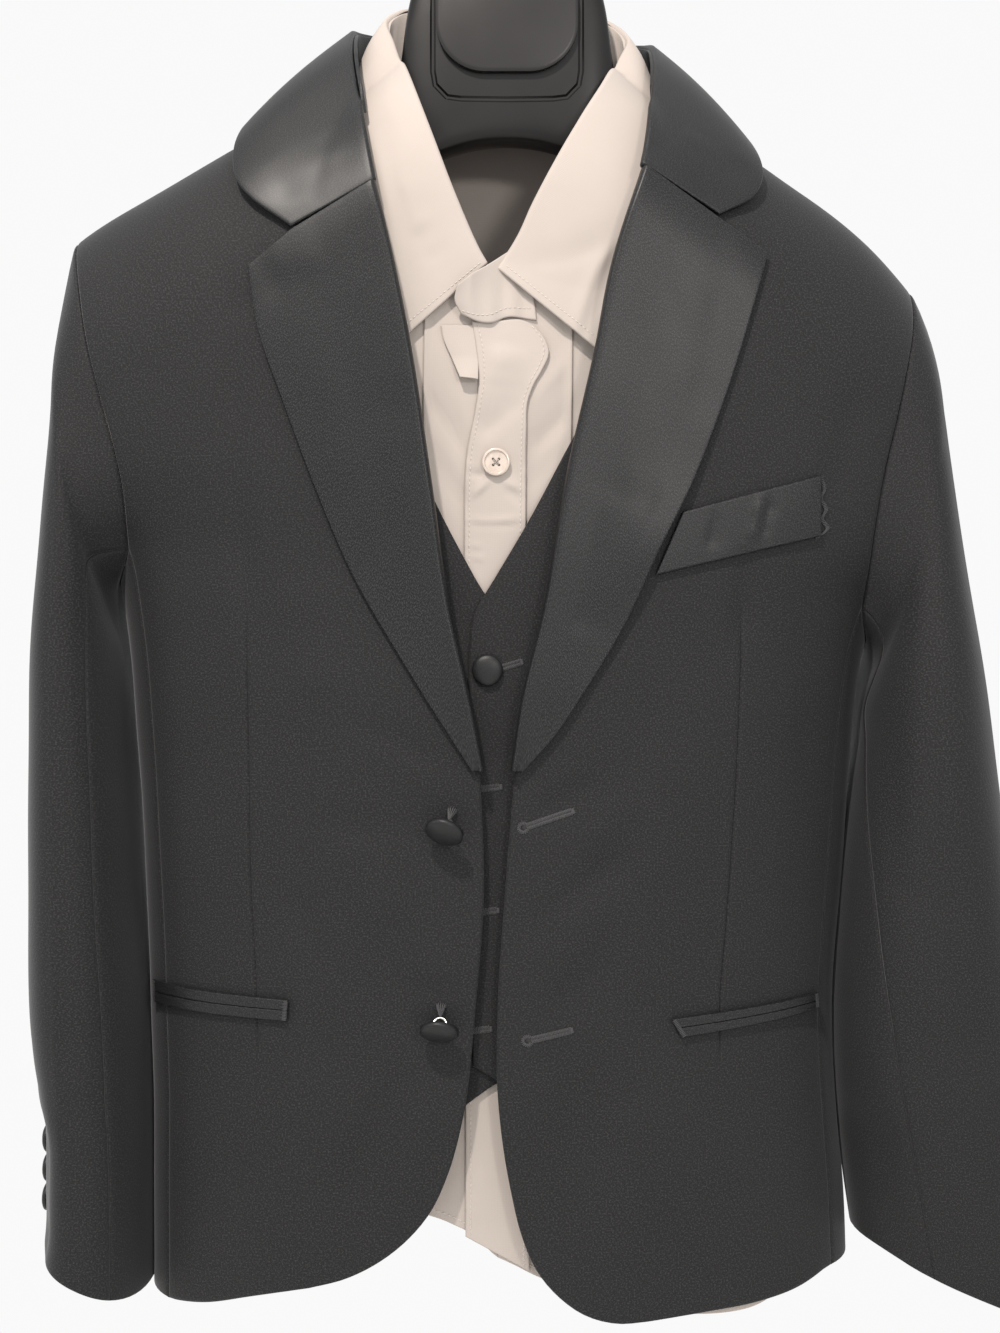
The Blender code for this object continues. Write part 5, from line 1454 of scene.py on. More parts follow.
def one_piece_back(layer, outlines, neck, armpits, side_hems, hem, shoulder, thickness, finish):
    """A back from armhole to armhole: outlines are the two armholes, hem is (angle, z)."""
    arms, shoulders = {}, {}
    for side, outline in outlines.items():
        arms[side] = arm_edge(layer, side, outline, armpits[side], side_hems[side], behind=True)
        near = neck[0][0] if side == "left" else neck[-1][0]
        shoulders[side] = ridge_curve(layer, near, outline[0][0], shoulder, behind=True)
        arms[side][0] = shoulders[side][-1]
    neckline = wrapped(angle_at(layer, trace(neck, SHIRT_BACK_NECK_STEPS), behind=True))
    neckline[0], neckline[-1] = shoulders["left"][0], wrapped(shoulders["right"])[0]
    top = chain(shoulders["left"][::-1], neckline, wrapped(shoulders["right"]))
    turn = np.linspace(90, 270, len(top))
    bottom = np.stack([turn, from_table(hem, turn)[:, 0]], axis=-1)
    edges = (top, bottom, arms["left"], wrapped(arms["right"]))
    body_panel(f"{layer}_back", layer, edges, thickness, finish, HEMMED)


def make_shirt():
    for side in SIDES:
        make_shirt_front(side)
        make_shirt_sleeve(side)
    one_piece_back(
        "shirt", SHIRT_ARMHOLE, SHIRT_BACK_NECK, SHIRT_ARMPIT, SHIRT_SIDE_HEM,
        SHIRT_TAIL, SHIRT_SHOULDER_STEPS, SHIRTING, "shirting",
    )
    make_placket()
    make_band_end()
    along, across = SHIRT_COLLAR_STEPS
    fold, edge = np.hsplit(trace(SHIRT_COLLAR, along), 2)
    net = folded_strip(fold, edge, across, SHIRT_COLLAR_ARCH)
    net = clear_of_body("shirt", net, STIFF_SHIRTING + 2.5)
    sew_collar(*collar_fall("shirt_collar", net, STIFF_SHIRTING, "shirting"))
    neck = chain(
        on_neck("shirt", SHIRT_NECK["left"]),
        on_neck("shirt", SHIRT_BACK_NECK, behind=True),
        on_neck("shirt", SHIRT_NECK["right"][::-1]),
    )
    band, ups = make_stand("shirt_neckband", fold, neck, STIFF_SHIRTING, "shirting", margin=0)
    sew_along("neckband_stitches", band[-2], ups[-2], 1.9, 1.2)


def make_shirt_front(side):
    outer = arm_edge("shirt", side, SHIRT_ARMHOLE[side], SHIRT_ARMPIT[side], SHIRT_SIDE_HEM[side])
    tip = SHIRT_ARMHOLE[side][0]
    top = top_edge("shirt", SHIRT_NECK[side], SHIRT_NECK_STEPS, tip, SHIRT_SHOULDER_STEPS)
    outer[0] = top[-1]
    low = SHIRT_HEM[side][0][1]
    inner = seam_down(SHIRT_MIDDLE, top[0][1], low, from_ridge(top[0][1] - low, len(outer) - 1))
    hem = trace(np.vstack([angle_at("shirt", SHIRT_HEM[side]), outer[-1]]), len(top) - 1)
    top[0], hem[0] = inner[0], inner[-1]
    tuck = TUCKS[side]
    curve = trace(((tuck[0][0], -100),) + tuck + ((tuck[-1][0], -640),), 60)
    profile = TUCK_LEFT if side == "left" else TUCK_RIGHT
    line = (angle_at("shirt", curve), profile, (tuck[0][1] + 20, tuck[-1][1] - 60))
    panel = as_seen(side, top, hem, inner, outer)
    body_panel(f"shirt_front_{side}", "shirt", panel, SHIRTING, "shirting", HEMMED, line)


def make_shirt_sleeve(side):
    """The shirt's sleeve lies inside the jacket's and ends above its cuff."""
    around = []
    outline = SHIRT_ARMHOLE[side]
    tip = outline[0][0]
    for behind in (False, True):
        edge = arm_edge("shirt", side, outline, SHIRT_ARMPIT[side], SHIRT_SIDE_HEM[side], behind)
        edge[0] = ridge_curve("shirt", tip, tip, 1, behind)[0]
        around.append(edge[: INNER_ARMHOLE_STEPS + INNER_ARMPIT_STEPS + 1])
    loop, _ = on_body("shirt", chain(around[0], around[1][::-1])[:-1])
    loop = loop + np.array([SIDES[side] * SHIRT_SLEEVE_SHIFT, 0, 0])
    sections = SLEEVE_SECTIONS[side][:-1]
    steps = (INNER_ARMHOLE_STEPS, INNER_ARMPIT_STEPS)
    turns = sleeve_turns((outline, outline), SHIRT_LINES, *steps)
    net = sleeve_rings(side, loop, turns, sections, SHIRT_SLEEVE_SLACK, 60)
    net = np.concatenate([net, net[:, :1]], axis=1)
    normals = net_normals(net)
    normals[:, 0] = normals[:, -1] = unit(normals[:, 0] + normals[:, -1])
    cloth(f"shirt_sleeve_{side}", net, normals, SHIRTING, "shirting", HEMMED)


def make_placket():
    """The front band: its top swings out to the wearer's left before it runs straight down."""
    left_edge = trace(PLACKET_RIGHT_EDGE, 300)
    right_edge = trace(PLACKET_LEFT_EDGE, 300)
    top = trace((left_edge[0], (-3, -230.2), (6, -230), right_edge[0]), 24)
    bottom = np.linspace(left_edge[-1], right_edge[-1], 25)
    edges = (top, bottom, left_edge, right_edge)
    face, normals = laid(
        "shirt_placket", "shirt", edges, PLACKET_LIFT, STIFF_SHIRTING, "shirting"
    )
    for name, column in (("right", 2), ("left", -3)):
        sew_along(f"placket_stitches_{name}", face[:, column], normals[:, column], 2.1, 1.4)


def band_end_lift(points):
    """How far the neckband's end is bent forward, most at its top left, with a small ripple."""
    right = np.linspace(1, 0, points.shape[1])
    up = np.linspace(1, 0, len(points))[:, None]
    bent = 6.6 * np.clip(1.6 * right - 0.25, 0, 1) * (0.45 + 0.55 * up)
    return bent - 0.1 + 0.3 * np.sin(points[..., 0] * 0.7) * (1 - up)


def make_band_end():
    """The neckband's front end, which laps over the right leaf and runs up under the left one."""
    top = trace(((-20.2, -217), (-14, -212), (-8.7, -208.6), (-1, -203), (8, -196)), 36)
    bottom = trace(((-18.8, -228), (-12, -231), (-6, -231.4), (-1, -229.2), (12, -230)), 36)
    left_edge = trace((top[0], (-21.4, -222.5), bottom[0]), 14)
    edges = (top, bottom, left_edge, np.linspace(top[-1], bottom[-1], 15))
    face, normals = laid("neckband_end", "shirt", edges, band_end_lift, 1.3, "shirting")
    sew_along("neckband_end_stitches", face[-3], normals[-3], 2.0, 1.3)


# Waistcoat

WAISTCOAT_EDGE = {
    "right": (
        (-72, -127), (-67, -165), (-62, -205), (-49, -256), (-32, -298.5), (-17.5, -327),
        (-8.9, -342), (-1, -352), (4, -366), (5, -400), (5, -470), (5, -536),
    ),
    "left": (
        (78, -134.8), (70, -165), (60, -200), (45, -248), (31.3, -270), (7.5, -314), (-8.9, -341.5),
        (-13.5, -349), (-15, -361), (-15, -400), (-15, -470), (-14, -533),
    ),
}
WAISTCOAT_ARMHOLE = {
    "right": ((-128, -155.3), (-120, -215), (-121, -270), (-134, -315)),
    "left": ((128, -170.5), (119, -230), (118, -285), (128, -330)),
}
WAISTCOAT_ARMPIT = -362
WAISTCOAT_HEM = {
    "right": ((5, -536), (-33, -557), (-75, -535), (-120, -515)),
    "left": ((-14, -533), (30, -556), (75, -537), (118, -517)),
}
WAISTCOAT_SIDE_HEM = -506
WAISTCOAT_BACK_NECK = ((78, -134.8), (40, -127), (0, -123), (-40, -125), (-72, -127))
WAISTCOAT_BACK_HEM = ((90, -506), (180, -500), (270, -506))
# How far the left front is lifted over the right one, below what height, and between which
# distances from the middle.
WRAP_RISE = 2.1
WRAP_TOP = -250
WRAP_REACH = (12.0, 55.0)


def make_waistcoat():
    for side in SIDES:
        make_waistcoat_front(side)
    armpits = dict.fromkeys(SIDES, WAISTCOAT_ARMPIT)
    hems = dict.fromkeys(SIDES, WAISTCOAT_SIDE_HEM)
    one_piece_back(
        "waistcoat", WAISTCOAT_ARMHOLE, WAISTCOAT_BACK_NECK, armpits, hems,
        WAISTCOAT_BACK_HEM, 20, WAISTCOAT_WOOL, "wool",
    )


def wrap_lift(points):
    """How far the left front is lifted where it laps over the right one."""
    share = (WRAP_REACH[1] - points[..., 0]) / (WRAP_REACH[1] - WRAP_REACH[0])
    share = np.clip(share, 0, 1)
    low = np.clip((WRAP_TOP - points[..., 2]) / 60, 0, 1)
    return WRAP_RISE * low * share * share * (3 - 2 * share)


def make_waistcoat_front(side):
    outline = WAISTCOAT_ARMHOLE[side]
    outer = arm_edge("waistcoat", side, outline, WAISTCOAT_ARMPIT, WAISTCOAT_SIDE_HEM)
    edge = WAISTCOAT_EDGE[side]
    top = ridge_curve("waistcoat", edge[0][0], outline[0][0], WAISTCOAT_COLUMNS)
    outer[0] = top[-1]
    inner = angle_at("waistcoat", trace_from_ridge(edge, len(outer) - 1))
    inner[0] = top[0]
    hem = np.vstack([angle_at("waistcoat", WAISTCOAT_HEM[side]), outer[-1]])
    hem = trace(hem, WAISTCOAT_COLUMNS)
    hem[0] = inner[-1]
    lift = wrap_lift if side == "left" else 0
    panel = as_seen(side, top, hem, inner, outer)
    sides = ("fold", "seam") if side == "left" else ("seam", "fold")
    body_panel(
        f"waistcoat_front_{side}", "waistcoat", panel, WAISTCOAT_WOOL, "wool",
        (("seam", "fold"), sides), lift=lift,
    )


# Sewing

# How far from the middle the shirt's hem stitches run.
HEM_STITCHED = 118


def tube_faces(rings, around):
    """Quads between rings of points that follow one another."""
    faces = []
    for start in range(0, (rings - 1) * around, around):
        for j in range(around):
            a, b = start + j, start + (j + 1) % around
            faces.append((a, b, b + around, a + around))
    return faces


def stitch_shape(length, thick):
    """One stitch as a closed six-sided capsule that lies along x, half sunk in its cloth."""
    rings = ((-0.5, 0.35), (-0.36, 0.9), (0, 1.0), (0.36, 0.9), (0.5, 0.35))
    points = [
        (share * length, thick / 2 * wide * math.cos(a), thick / 2 * wide * math.sin(a))
        for share, wide in rings for a in np.arange(6) * math.pi / 3
    ]
    first, last, final = len(points), len(points) + 1, len(points) - 6
    points += [(-0.55 * length, 0, 0), (0.55 * length, 0, 0)]
    faces = tube_faces(len(rings), 6)
    faces += [(first, (j + 1) % 6, j) for j in range(6)]
    faces += [(last, final + j, final + (j + 1) % 6) for j in range(6)]
    return np.array(points), faces


def stitches(name, places, along, up, length, thick, finish):
    """Many copies of one stitch, each at its place, along its own direction."""
    shape, faces = stitch_shape(length, thick)
    along, up = unit(np.asarray(along)), unit(np.asarray(up))
    across = unit(np.cross(up, along))
    up = np.cross(along, across)
    points = [
        place + shape[:, :1] * x + shape[:, 1:2] * y + shape[:, 2:] * z
        for place, x, y, z in zip(places, along, across, up)
    ]
    sizes = len(shape)
    every = [tuple(k + i * sizes for k in face) for i in range(len(points)) for face in faces]
    new_piece(name, np.vstack(points), every, finish)


def sew_along(name, path, normals, step, length):
    """A row of white stitches along a path on the cloth."""
    keys = distances(path)
    at = np.arange(step, keys[-1] - step / 2, step)
    both = [np.interp(at, keys, column) for column in np.hstack([path, normals]).T]
    places, ups = np.stack(both[:3], axis=-1), np.stack(both[3:], axis=-1)
    along = np.gradient(places, axis=0)
    stitches(name, places + 0.05 * ups, along, ups, length, 0.42, "white_thread")


def on_cloth(layer, places, lift=0):
    """Points (x, z) set on a garment's creased front, with their outward directions."""
    points, normals, rise = panel_points(layer, angle_at(layer, places)[None], lift)
    return (points + rise[..., None] * normals)[0], normals[0]


def buttonhole(name, layer, start, end, lift, eye):
    """A worked buttonhole: close whip stitches round a slit, with a round eye if it has one."""
    start, end = np.array(start, float), np.array(end, float)
    length = np.linalg.norm(end - start)
    run = (end - start) / length
    side = np.array([-run[1], run[0]])
    sewn = [
        (start + distance * run + sign * 0.75 * side, sign * side)
        for sign in (1, -1) for distance in np.arange(eye * 1.2, length, 0.62)
    ]
    for turn in np.linspace(0.25 * math.pi, 1.75 * math.pi, 15) if eye else ():
        way = math.cos(turn) * run + math.sin(turn) * side
        sewn.append((start + (eye + 0.3) * way, way))
    sewn += [(end + 0.3 * run + share * side, run) for share in np.linspace(-0.8, 0.8, 5)]
    outline, outwards = np.moveaxis(np.array(sewn), 1, 0)
    inner, ups = on_cloth(layer, outline, lift)
    outer, _ = on_cloth(layer, outline + 0.5 * outwards, lift)
    stitches(name, inner + 0.1 * ups, outer - inner, ups, 1.5, 0.6, "dark_thread")
    # The slit itself: a near-black sheet of painted shade where it opens on the cloth below.
    shares = np.linspace(0, 1, 16)[:, None]
    wide = 0.42 * np.sin(math.pi * np.clip(shares * 0.9 + 0.08, 0, 1)) + 0.05
    if eye:
        wide = wide + 0.5 * eye * np.exp(-((shares * length / eye) ** 2))
    middle = start + shares * length * run
    points, ups = on_cloth(layer, np.vstack([middle + wide * side, middle - wide * side]), lift)
    points = (points + 0.12 * ups).reshape(2, 16, 3)
    cloth(f"{name}_slit", points, ups.reshape(2, 16, 3), 0.1, "slit")


def bar_tack(name, layer, start, end, lift):
    """A bar of close stitches across a pocket's end."""
    places = np.linspace(start, end, 13)
    points, ups = on_cloth(layer, places, lift)
    run = np.subtract(end, start)
    side = np.array([-run[1], run[0]]) / np.linalg.norm(run)
    beyond, _ = on_cloth(layer, places + side, lift)
    stitches(name, points + 0.15 * ups, beyond - points, ups, 1.9, 0.45, "dark_thread")


def sew_collar(face, normals):
    """Edge stitching on the shirt's collar, round its outer edge and up both fronts."""
    row, column = -3, 2
    sew_along("collar_stitches_edge", face[row], normals[row], 2.0, 1.4)
    for name, place in (("left", column), ("right", -column - 1)):
        sew_along(f"collar_stitches_{name}", face[:row, place], normals[:row, place], 2.0, 1.4)


def tab_lift(points):
    """How far the button stand's tab stands off: it curls up at its end."""
    down = np.linspace(0, 1, len(points))[:, None]
    across = np.linspace(0, 1, points.shape[1])
    curl = 3.2 * np.clip(down - 0.55, 0, 1) ** 1.5 / 0.3 * (1 - 0.3 * across)
    return 0.5 + curl + 0.7 * np.sin(math.pi * across) * down


def sew_shirt():
    """The button stand's loose tab beside the placket, and the hems."""
    outer = trace(((-27, -232), (-26.2, -237), (-22.5, -246), (-19.2, -253.8)), 24)
    inner = trace(((-13.5, -232), (-12.6, -240), (-11.8, -248), (-11.8, -254.6)), 24)
    edges = [np.linspace(outer[end], inner[end], 15) for end in (0, -1)]
    laid("button_stand_tab", "shirt", (*edges, outer, inner), tab_lift, 0.8, "shirting")
    for side, sign in SIDES.items():
        hem = trace(np.array(SHIRT_HEM[side]) + (sign * 0.4, 3.2), 60)
        hem = hem[hem[:, 0] * sign < HEM_STITCHED]
        points, ups = on_cloth("shirt", hem)
        sew_along(f"shirt_hem_stitches_{side}", points, ups, 2.4, 1.7)


def sew_waistcoat():
    """Four worked buttonholes up the left front's edge."""
    for number, (x, z) in enumerate(WAISTCOAT_BUTTONS, 1):
        start, end = (x + 4.5, z + 0.6), (x + 13.5, z + 3.2)
        if number > 1:
            start, end = (x + 6, z + 1.5), (x + 14, z + 2.2)
        buttonhole(f"waistcoat_buttonhole_{number}", "waistcoat", start, end, wrap_lift, 0)


JACKET_HOLES = {"upper": ((6.3, -435.8), (26, -429.2)), "lower": ((8, -521.2), (25.5, -517.2))}
BREAST_TACK = (
    (127, -294), (128.8, -299), (127.2, -303), (129.6, -307), (127.8, -311), (130.4, -314.5),
    (126, -318.5),
)


def sew_jacket():
    """Buttonholes, pocket tacks and the stitched ends of the hip welts."""
    for name, (start, end) in JACKET_HOLES.items():
        buttonhole(f"jacket_buttonhole_{name}", "jacket", start, end, 0, 1.5)
    places = trace(BREAST_TACK, 44)
    points, ups = on_cloth("jacket", places, 0.4)
    ways, _ = on_cloth("jacket", places + (1.0, 0.35), 0.4)
    stitches("breast_welt_tack", points, ways - points, ups, 2.0, 0.5, "dark_thread")
    for side in SIDES:
        top, low = np.array(HIP_POCKETS[side], float)
        for end, k, inwards in (("right", 0, 1.0), ("left", 1, -1.0)):
            start, stop = top[k] + (inwards, -0.6), low[k] + (inwards, 0.6)
            bar_tack(f"hip_welt_tack_{side}_{end}", "jacket", start, stop, WELT_LIFT + SATIN)


# Buttons, modelled once each and copied: their places (x, z), cuff heights and diameters

WAISTCOAT_BUTTONS = ((-8, -372.5), (-17, -422), (-18, -472), (-21, -520))
WAISTCOAT_BUTTON = 12.5
SHIRT_BUTTON_AT = (-4.6, -288)
SHIRT_BUTTON = 11.2
CUFF_BUTTON = 11.8
CUFF_BUTTONS = {"right": (-575.0, -587.5, -600.0), "left": (-598.0, -611.0, -624.0)}
JACKET_BUTTON = 15.6

# How far a jacket button's back hangs from the cloth, how long its wire loop is, and the thread
# that holds the loop.
SHANK_LENGTH = 10.4
SHANK_SCALE = 1.35
WIRE_LENGTH = 4.2
THREADS = 12
THREAD_SPREAD = 2.0

# How far the other buttons stand off their cloth, and the holes of the shirt's button.
ON_CLOTH = 0.3
HOLES = ((-1.2, -1.2), (1.2, -1.2), (-1.2, 1.2), (1.2, 1.2))

# The jacket's buttons hang forward on their shanks: how far each is turned down and to the right.
JACKET_BUTTONS = {"upper": (-22, -428.2, 50, 20), "lower": (-26.5, -506.5, 54, 4)}


def mode(name):
    bpy.ops.object.mode_set(mode=name)


def make_active(piece):
    bpy.ops.object.select_all(action="DESELECT")
    piece.select_set(True)
    bpy.context.view_layer.objects.active = piece


def pick(test):
    """Select the edited mesh's faces whose direction passes the test."""
    bpy.ops.mesh.select_mode(type="FACE")
    bpy.ops.mesh.select_all(action="DESELECT")
    mode("OBJECT")
    for face in bpy.context.object.data.polygons:
        face.select = test(face.normal)
    mode("EDIT")


def step_in(width, *move):
    """Inset the picked faces and then move them, in millimetres."""
    bpy.ops.mesh.inset(thickness=width * MM)
    bpy.ops.transform.translate(value=[step * MM for step in move])


def done(name, angle):
    """Back to object mode, with its place put into the mesh and its normals outwards."""
    bpy.ops.mesh.select_all(action="SELECT")
    bpy.ops.mesh.normals_make_consistent()
    mode("OBJECT")
    bpy.ops.object.transform_apply()
    bpy.ops.object.shade_smooth_by_angle(angle=math.radians(angle))
    piece = bpy.context.object
    piece.name = piece.data.name = name
    return piece


def copy_to(model, name, base, axis, scale, finish):
    """A dressed copy of a model with its own mesh, its z axis along the given axis."""
    copy = place_object(name, model.data.copy())
    copy.data.name = name
    turn = Vector((0, 0, 1)).rotation_difference(Vector(axis).normalized()).to_matrix().to_4x4()
    copy.data.transform(Matrix.Translation(Vector(base) * MM) @ turn @ Matrix.Scale(scale, 4))
    dress(copy, finish, name)


def model_covered_button():
    """A shell button covered in satin: 10 mm across, domed, its edge drawn in at the back."""
    bpy.ops.mesh.primitive_cylinder_add(
        vertices=40, radius=5 * MM, depth=1.1 * MM, location=(0, 0, 0.85 * MM)
    )
    mode("EDIT")
    pick(lambda way: way.z > 0.9)
    for inset, rise in ((0.45, 0.42), (0.9, 0.42), (1.4, 0.3), (1.3, 0.1)):
        step_in(inset, 0, 0, rise)
    pick(lambda way: way.z < -0.9)
    for inset, rise in ((0.35, -0.18), (0.8, -0.12), (1.6, 0.1)):
        step_in(inset, 0, 0, rise)
    return done("covered_button", 80)


def model_shirt_button():
    """A four-hole button: a raised rim round a dished middle."""
    bpy.ops.mesh.primitive_cylinder_add(
        vertices=48, radius=SHIRT_BUTTON / 2 * MM, depth=1.9 * MM, location=(0, 0, 0.95 * MM)
    )
    mode("EDIT")
    pick(lambda way: way.z > 0.9)
    for inset, rise in ((0.3, 0.22), (0.55, 0), (0.35, -0.65), (1.6, -0.12)):
        step_in(inset, 0, 0, rise)
    button = done("four_hole_button", 50)
    for x, y in HOLES:
        bpy.ops.mesh.primitive_cylinder_add(
            vertices=14, radius=0.55 * MM, depth=8 * MM, location=(x * MM, y * MM, 0)
        )
        bpy.ops.object.transform_apply()
        apply_cut(button, bpy.context.object)
    return button


def apply_cut(piece, cutter):
    """Cut one mesh out of another with an applied Boolean, and remove the cutter."""
    cut = piece.modifiers.new("cut", "BOOLEAN")
    cut.object = cutter
    cut.operation = "DIFFERENCE"
    cut.solver = "EXACT"
    make_active(piece)
    bpy.ops.object.modifier_apply(modifier="cut")
    bpy.data.meshes.remove(cutter.data)


def thread_cone(name, foot, head):
    """Strands that run from a spread on the cloth up to one point on a shank."""
    length = float(np.linalg.norm(head - foot))
    along = unit(head - foot)
    side = unit(np.cross(along, (0, 0, 1.0)))
    other = np.cross(along, side)
    turns = np.linspace(0, 2 * math.pi, THREADS, endpoint=False)[:, None]
    starts = foot + THREAD_SPREAD * (np.cos(turns) * side + np.sin(turns) * other)
    ups = np.tile(other, (THREADS, 1))
    stitches(name, (starts + head) / 2, head - starts, ups, length * 0.95, 0.5, "dark_thread")


def model_shank():
    """A wire loop on the back of a covered button, standing down from it."""
    bpy.ops.mesh.primitive_torus_add(
        major_segments=28, minor_segments=10, major_radius=2.0 * MM, minor_radius=0.45 * MM,
        location=(0, 0, -1.3 * MM), rotation=(math.pi / 2, 0, 0),
    )
    mode("EDIT")
    return done("wire_shank", 60)


def spot(layer, place, lift=0):
    """One point on a garment's creased front, and its outward direction."""
    points, ups = on_cloth(layer, [place], lift)
    return points[0], ups[0]


def make_buttons(covered):
    """The buttons of the three fronts. The jacket's hang on shanks of wire and thread."""
    for number, place in enumerate(WAISTCOAT_BUTTONS, 1):
        base, up = spot("waistcoat", place, WRAP_RISE)
        name = f"waistcoat_button_{number}"
        copy_to(covered, name, base + ON_CLOTH * up, up, WAISTCOAT_BUTTON / 10, "satin")
    shank = model_shank()
    for name, (x, z, down, aside) in JACKET_BUTTONS.items():
        base, _ = spot("jacket", (x, z))
        tilt, lean = math.radians(down), math.radians(aside)
        hang = math.sin(tilt)
        axis = np.array((-hang * math.sin(lean), -math.cos(tilt), -hang * math.cos(lean)))
        back = base + SHANK_LENGTH * axis
        copy_to(covered, f"jacket_button_{name}", back, axis, JACKET_BUTTON / 10, "satin")
        copy_to(shank, f"button_shank_{name}", back, axis, SHANK_SCALE, "steel")
        thread_cone(f"button_thread_{name}", base, back - WIRE_LENGTH * axis)
    base, axis = spot("shirt", SHIRT_BUTTON_AT, PLACKET_LIFT + STIFF_SHIRTING)
    base = base + 0.2 * axis
    button = model_shirt_button()
    copy_to(button, "shirt_button", base, axis, 1, "shirt_button")
    turn = np.array(Vector((0, 0, 1)).rotation_difference(Vector(axis)).to_matrix())
    places, ways = [], []
    for (x, y), (u, v) in zip(HOLES, HOLES[::-1]):
        for shift in (-0.16, 0.16):
            places.append(base + turn @ np.array(((x + u) / 2 + shift, (y + v) / 2 + shift, 1.55)))
            ways.append(turn @ np.array((u - x, v - y, 0.0)))
    stitches("shirt_button_thread", places, ways, np.tile(axis, (8, 1)), 3.4, 0.5, "white_thread")
    for model in (covered, shank, button):
        bpy.data.meshes.remove(model.data)


def make_cuff_buttons(side, face, normals, covered):
    """Three covered buttons in a row up the outside of a sleeve's cuff."""
    column = 0 if side == "right" else -1
    rows = np.hstack([face[::-1, column], normals[::-1, column]])
    for number, z in enumerate(CUFF_BUTTONS[side], 1):
        place = np.array([np.interp(z, rows[:, 2], values) for values in rows.T])
        base, axis = place[:3], place[3:]
        name = f"cuff_button_{side}_{number}"
        copy_to(covered, name, base + ON_CLOTH * unit(axis), axis, CUFF_BUTTON / 10, "satin")


# Hanger

PLATE_FRONT = -9.3
PAD_HALF_WIDTH = 30.5
PAD_TOP = -64.0
PAD_BOTTOM = -115.0
PAD_RISE = 2.0
GROOVE_RADIUS = 1.5


def carried(name, node, finish, cutter=None):
    """A smooth copy of a solid: its mesh merged, then subdivided, and cut if need be."""
    piece = place_object(name, bpy.data.objects[node].data.copy())
    make_active(piece)
    mode("EDIT")
    bpy.ops.mesh.select_all(action="SELECT")
    bpy.ops.mesh.remove_doubles(threshold=0.00001)
    bpy.ops.mesh.tris_convert_to_quads(face_threshold=3.14, shape_threshold=3.14)
    mode("OBJECT")
    piece.modifiers.new("smooth", "SUBSURF").levels = 2
    bpy.ops.object.modifier_apply(modifier="smooth")
    bpy.ops.object.shade_smooth_by_angle(angle=math.radians(40))
    if cutter:
        apply_cut(piece, cutter)
    dress(piece, finish, node)


def make_hanger():
    carried("hanger_bar", "hanger_body", "hanger_plastic", groove_cutter())
    make_pad()
    carried("hanger_wire", "hanger_hook", "steel")


def groove_cutter():
    """A U-shaped rod that leaves a groove round the pad."""
    path = ((-32, -60), (-32, -114), (-31, -120), (-26, -125.2), (-20, -126), (0, -126.3))
    path = np.array(path + tuple((-x, z) for x, z in path[-2::-1]), float)
    along = unit(np.gradient(path, axis=0))
    turns = np.arange(10) * math.pi / 5
    rod = GROOVE_RADIUS * np.stack([np.cos(turns), np.sin(turns)], axis=-1)
    points = [
        (x - out * down, PLATE_FRONT + forward, z + out * right)
        for (x, z), (right, down) in zip(path, along) for out, forward in rod
    ]
    faces = [face[:1] + face[:0:-1] for face in tube_faces(len(path), 10)]
    faces += [tuple(range(10)), tuple(range(len(points) - 1, len(points) - 11, -1))]
    mesh = bpy.data.meshes.new("groove")
    mesh.from_pydata((np.array(points) * MM).tolist(), [], faces)
    cutter = place_object("groove", mesh)
    make_active(cutter)
    mode("EDIT")
    bpy.ops.mesh.select_all(action="SELECT")
    bpy.ops.mesh.normals_make_consistent()
    mode("OBJECT")
    return cutter


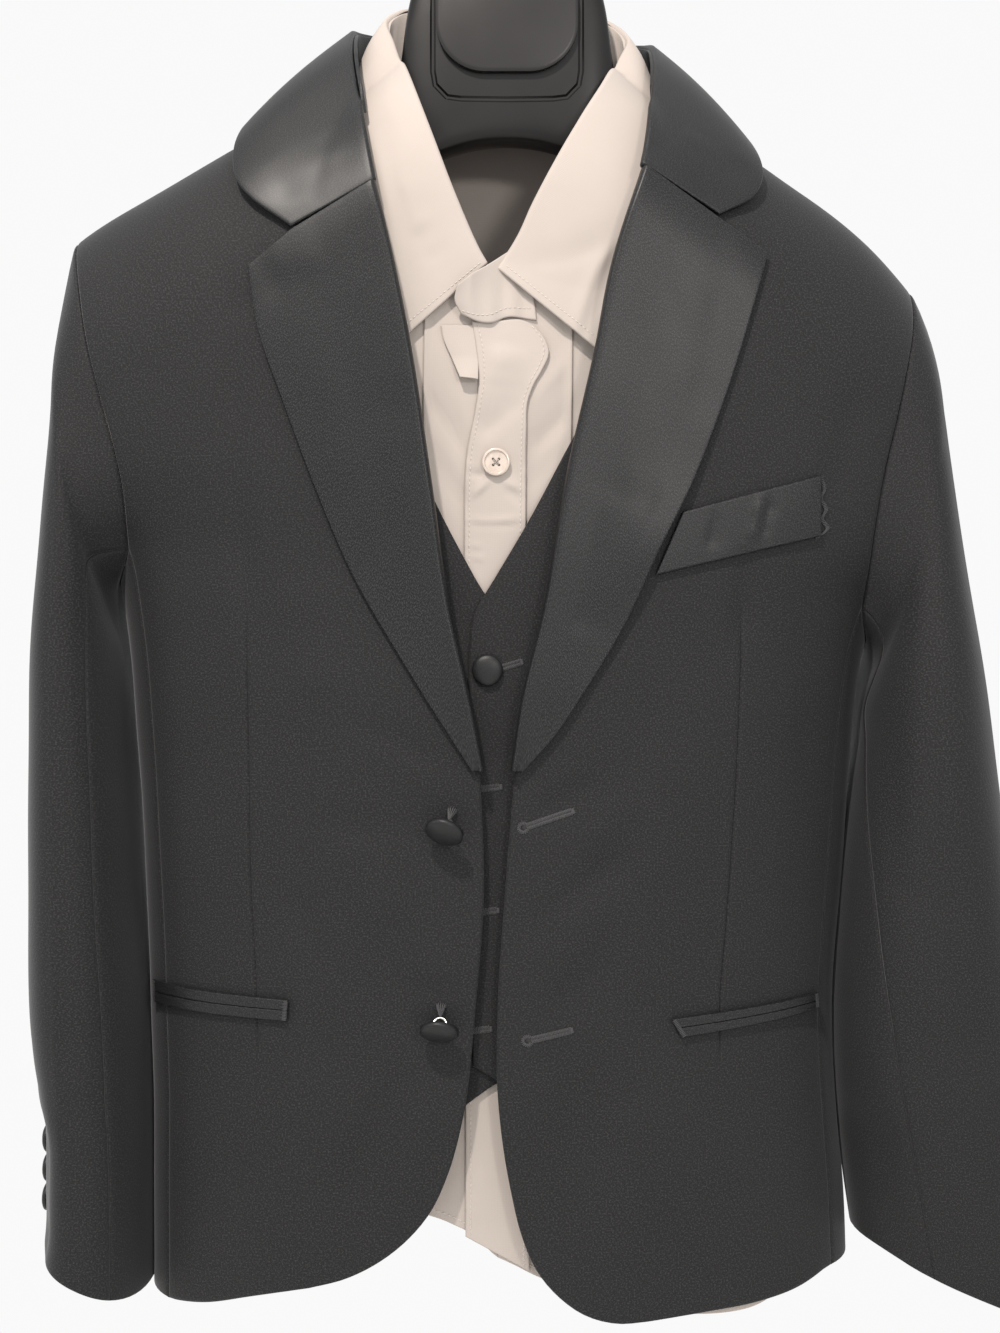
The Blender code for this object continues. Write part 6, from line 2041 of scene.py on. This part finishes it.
def make_pad():
    """A bare oval pad set on the front of the plate."""
    bpy.ops.mesh.primitive_cube_add(
        size=MM, location=(0, (PLATE_FRONT - PAD_RISE / 2) * MM, (PAD_TOP + PAD_BOTTOM) / 2 * MM),
        scale=(2 * PAD_HALF_WIDTH, PAD_RISE, PAD_TOP - PAD_BOTTOM),
    )
    bpy.ops.object.transform_apply()
    mode("EDIT")
    bpy.ops.mesh.select_mode(type="EDGE")
    bpy.ops.mesh.select_all(action="DESELECT")
    mode("OBJECT")
    mesh = bpy.context.object.data
    for edge in mesh.edges:
        a, b = (mesh.vertices[i].co for i in edge.vertices)
        edge.select = abs(a.y - b.y) > 0.5 * PAD_RISE * MM
    mode("EDIT")
    bpy.ops.mesh.bevel(offset=21 * MM, segments=14, profile=0.5)
    pick(lambda way: way.y < -0.9)
    step_in(0.7, 0, -0.35, 0)
    step_in(0.9, 0, -0.15, 0)
    # The pad takes the paler copy of the plastic, painted reflection.
    dress(done("hanger_oval", 30), "pad_painted_reflection", "hanger_pad")


# Stage


def add_light(name, place, target, size, power, colour):
    lamp = bpy.data.lights.new(name, "AREA")
    lamp.shape = "DISK"
    lamp.size = size
    lamp.energy = power
    lamp.color = linear(colour)[:3]
    light = place_object(name, lamp)
    light.location = place
    light.rotation_euler = (Vector(target) - Vector(place)).to_track_quat("-Z", "Y").to_euler()


def make_stage():
    """A pale room: a floor below and behind, three soft lamps and a camera in front."""
    bpy.ops.mesh.primitive_plane_add(size=2.4, location=(0, -0.9, -0.80))
    floor = bpy.context.object
    bpy.ops.object.transform_apply()
    floor.name = floor.data.name = "floor"
    made, tree, place = new_finish("painted_floor", "Object")
    cloud = add_node(tree, NOISE, "Fac", {"Vector": place, "Scale": 6})
    colour = add_node(tree, MIX, 2, {"Factor": cloud, 6: "#e9e9e8", 7: "#f2f2f0"}, data_type="RGBA")
    floor.data.materials.append(finished(made, {"Base Color": colour, "Roughness": 0.7}))
    world = bpy.data.worlds.new("pale_room")
    world.use_nodes = True
    background = world.node_tree.nodes["Background"]
    background.inputs["Color"].default_value = linear("#fbfbfb")
    background.inputs["Strength"].default_value = 0.985
    bpy.context.scene.world = world
    bpy.context.scene.view_settings.view_transform = "Standard"
    target = (0, 0, -0.25)
    add_light("lamp_upper_left", (-0.30, -0.80, 0.74), target, 0.07, 19, "#fff6ee")
    add_light("lamp_right", (0.46, -1.22, 0.04), target, 0.18, 4.4, "#fff9f4")
    add_light("lamp_left", (-1.15, -0.50, -0.10), (-0.15, 0, -0.45), 0.25, 1.2, "#fdfdff")
    camera = place_object("camera", bpy.data.cameras.new("camera"))
    camera.location = (-0.003, -0.710, -0.371)
    camera.rotation_euler = (math.pi / 2, 0, 0)
    camera.data.sensor_width = 36
    camera.data.lens = 43.9
    camera.data.clip_start = 0.01
    bpy.context.scene.camera = camera


covered = model_covered_button()
make_jacket(covered)
make_shirt()
make_waistcoat()
sew_shirt()
sew_waistcoat()
sew_jacket()
make_buttons(covered)
make_hanger()
make_stage()
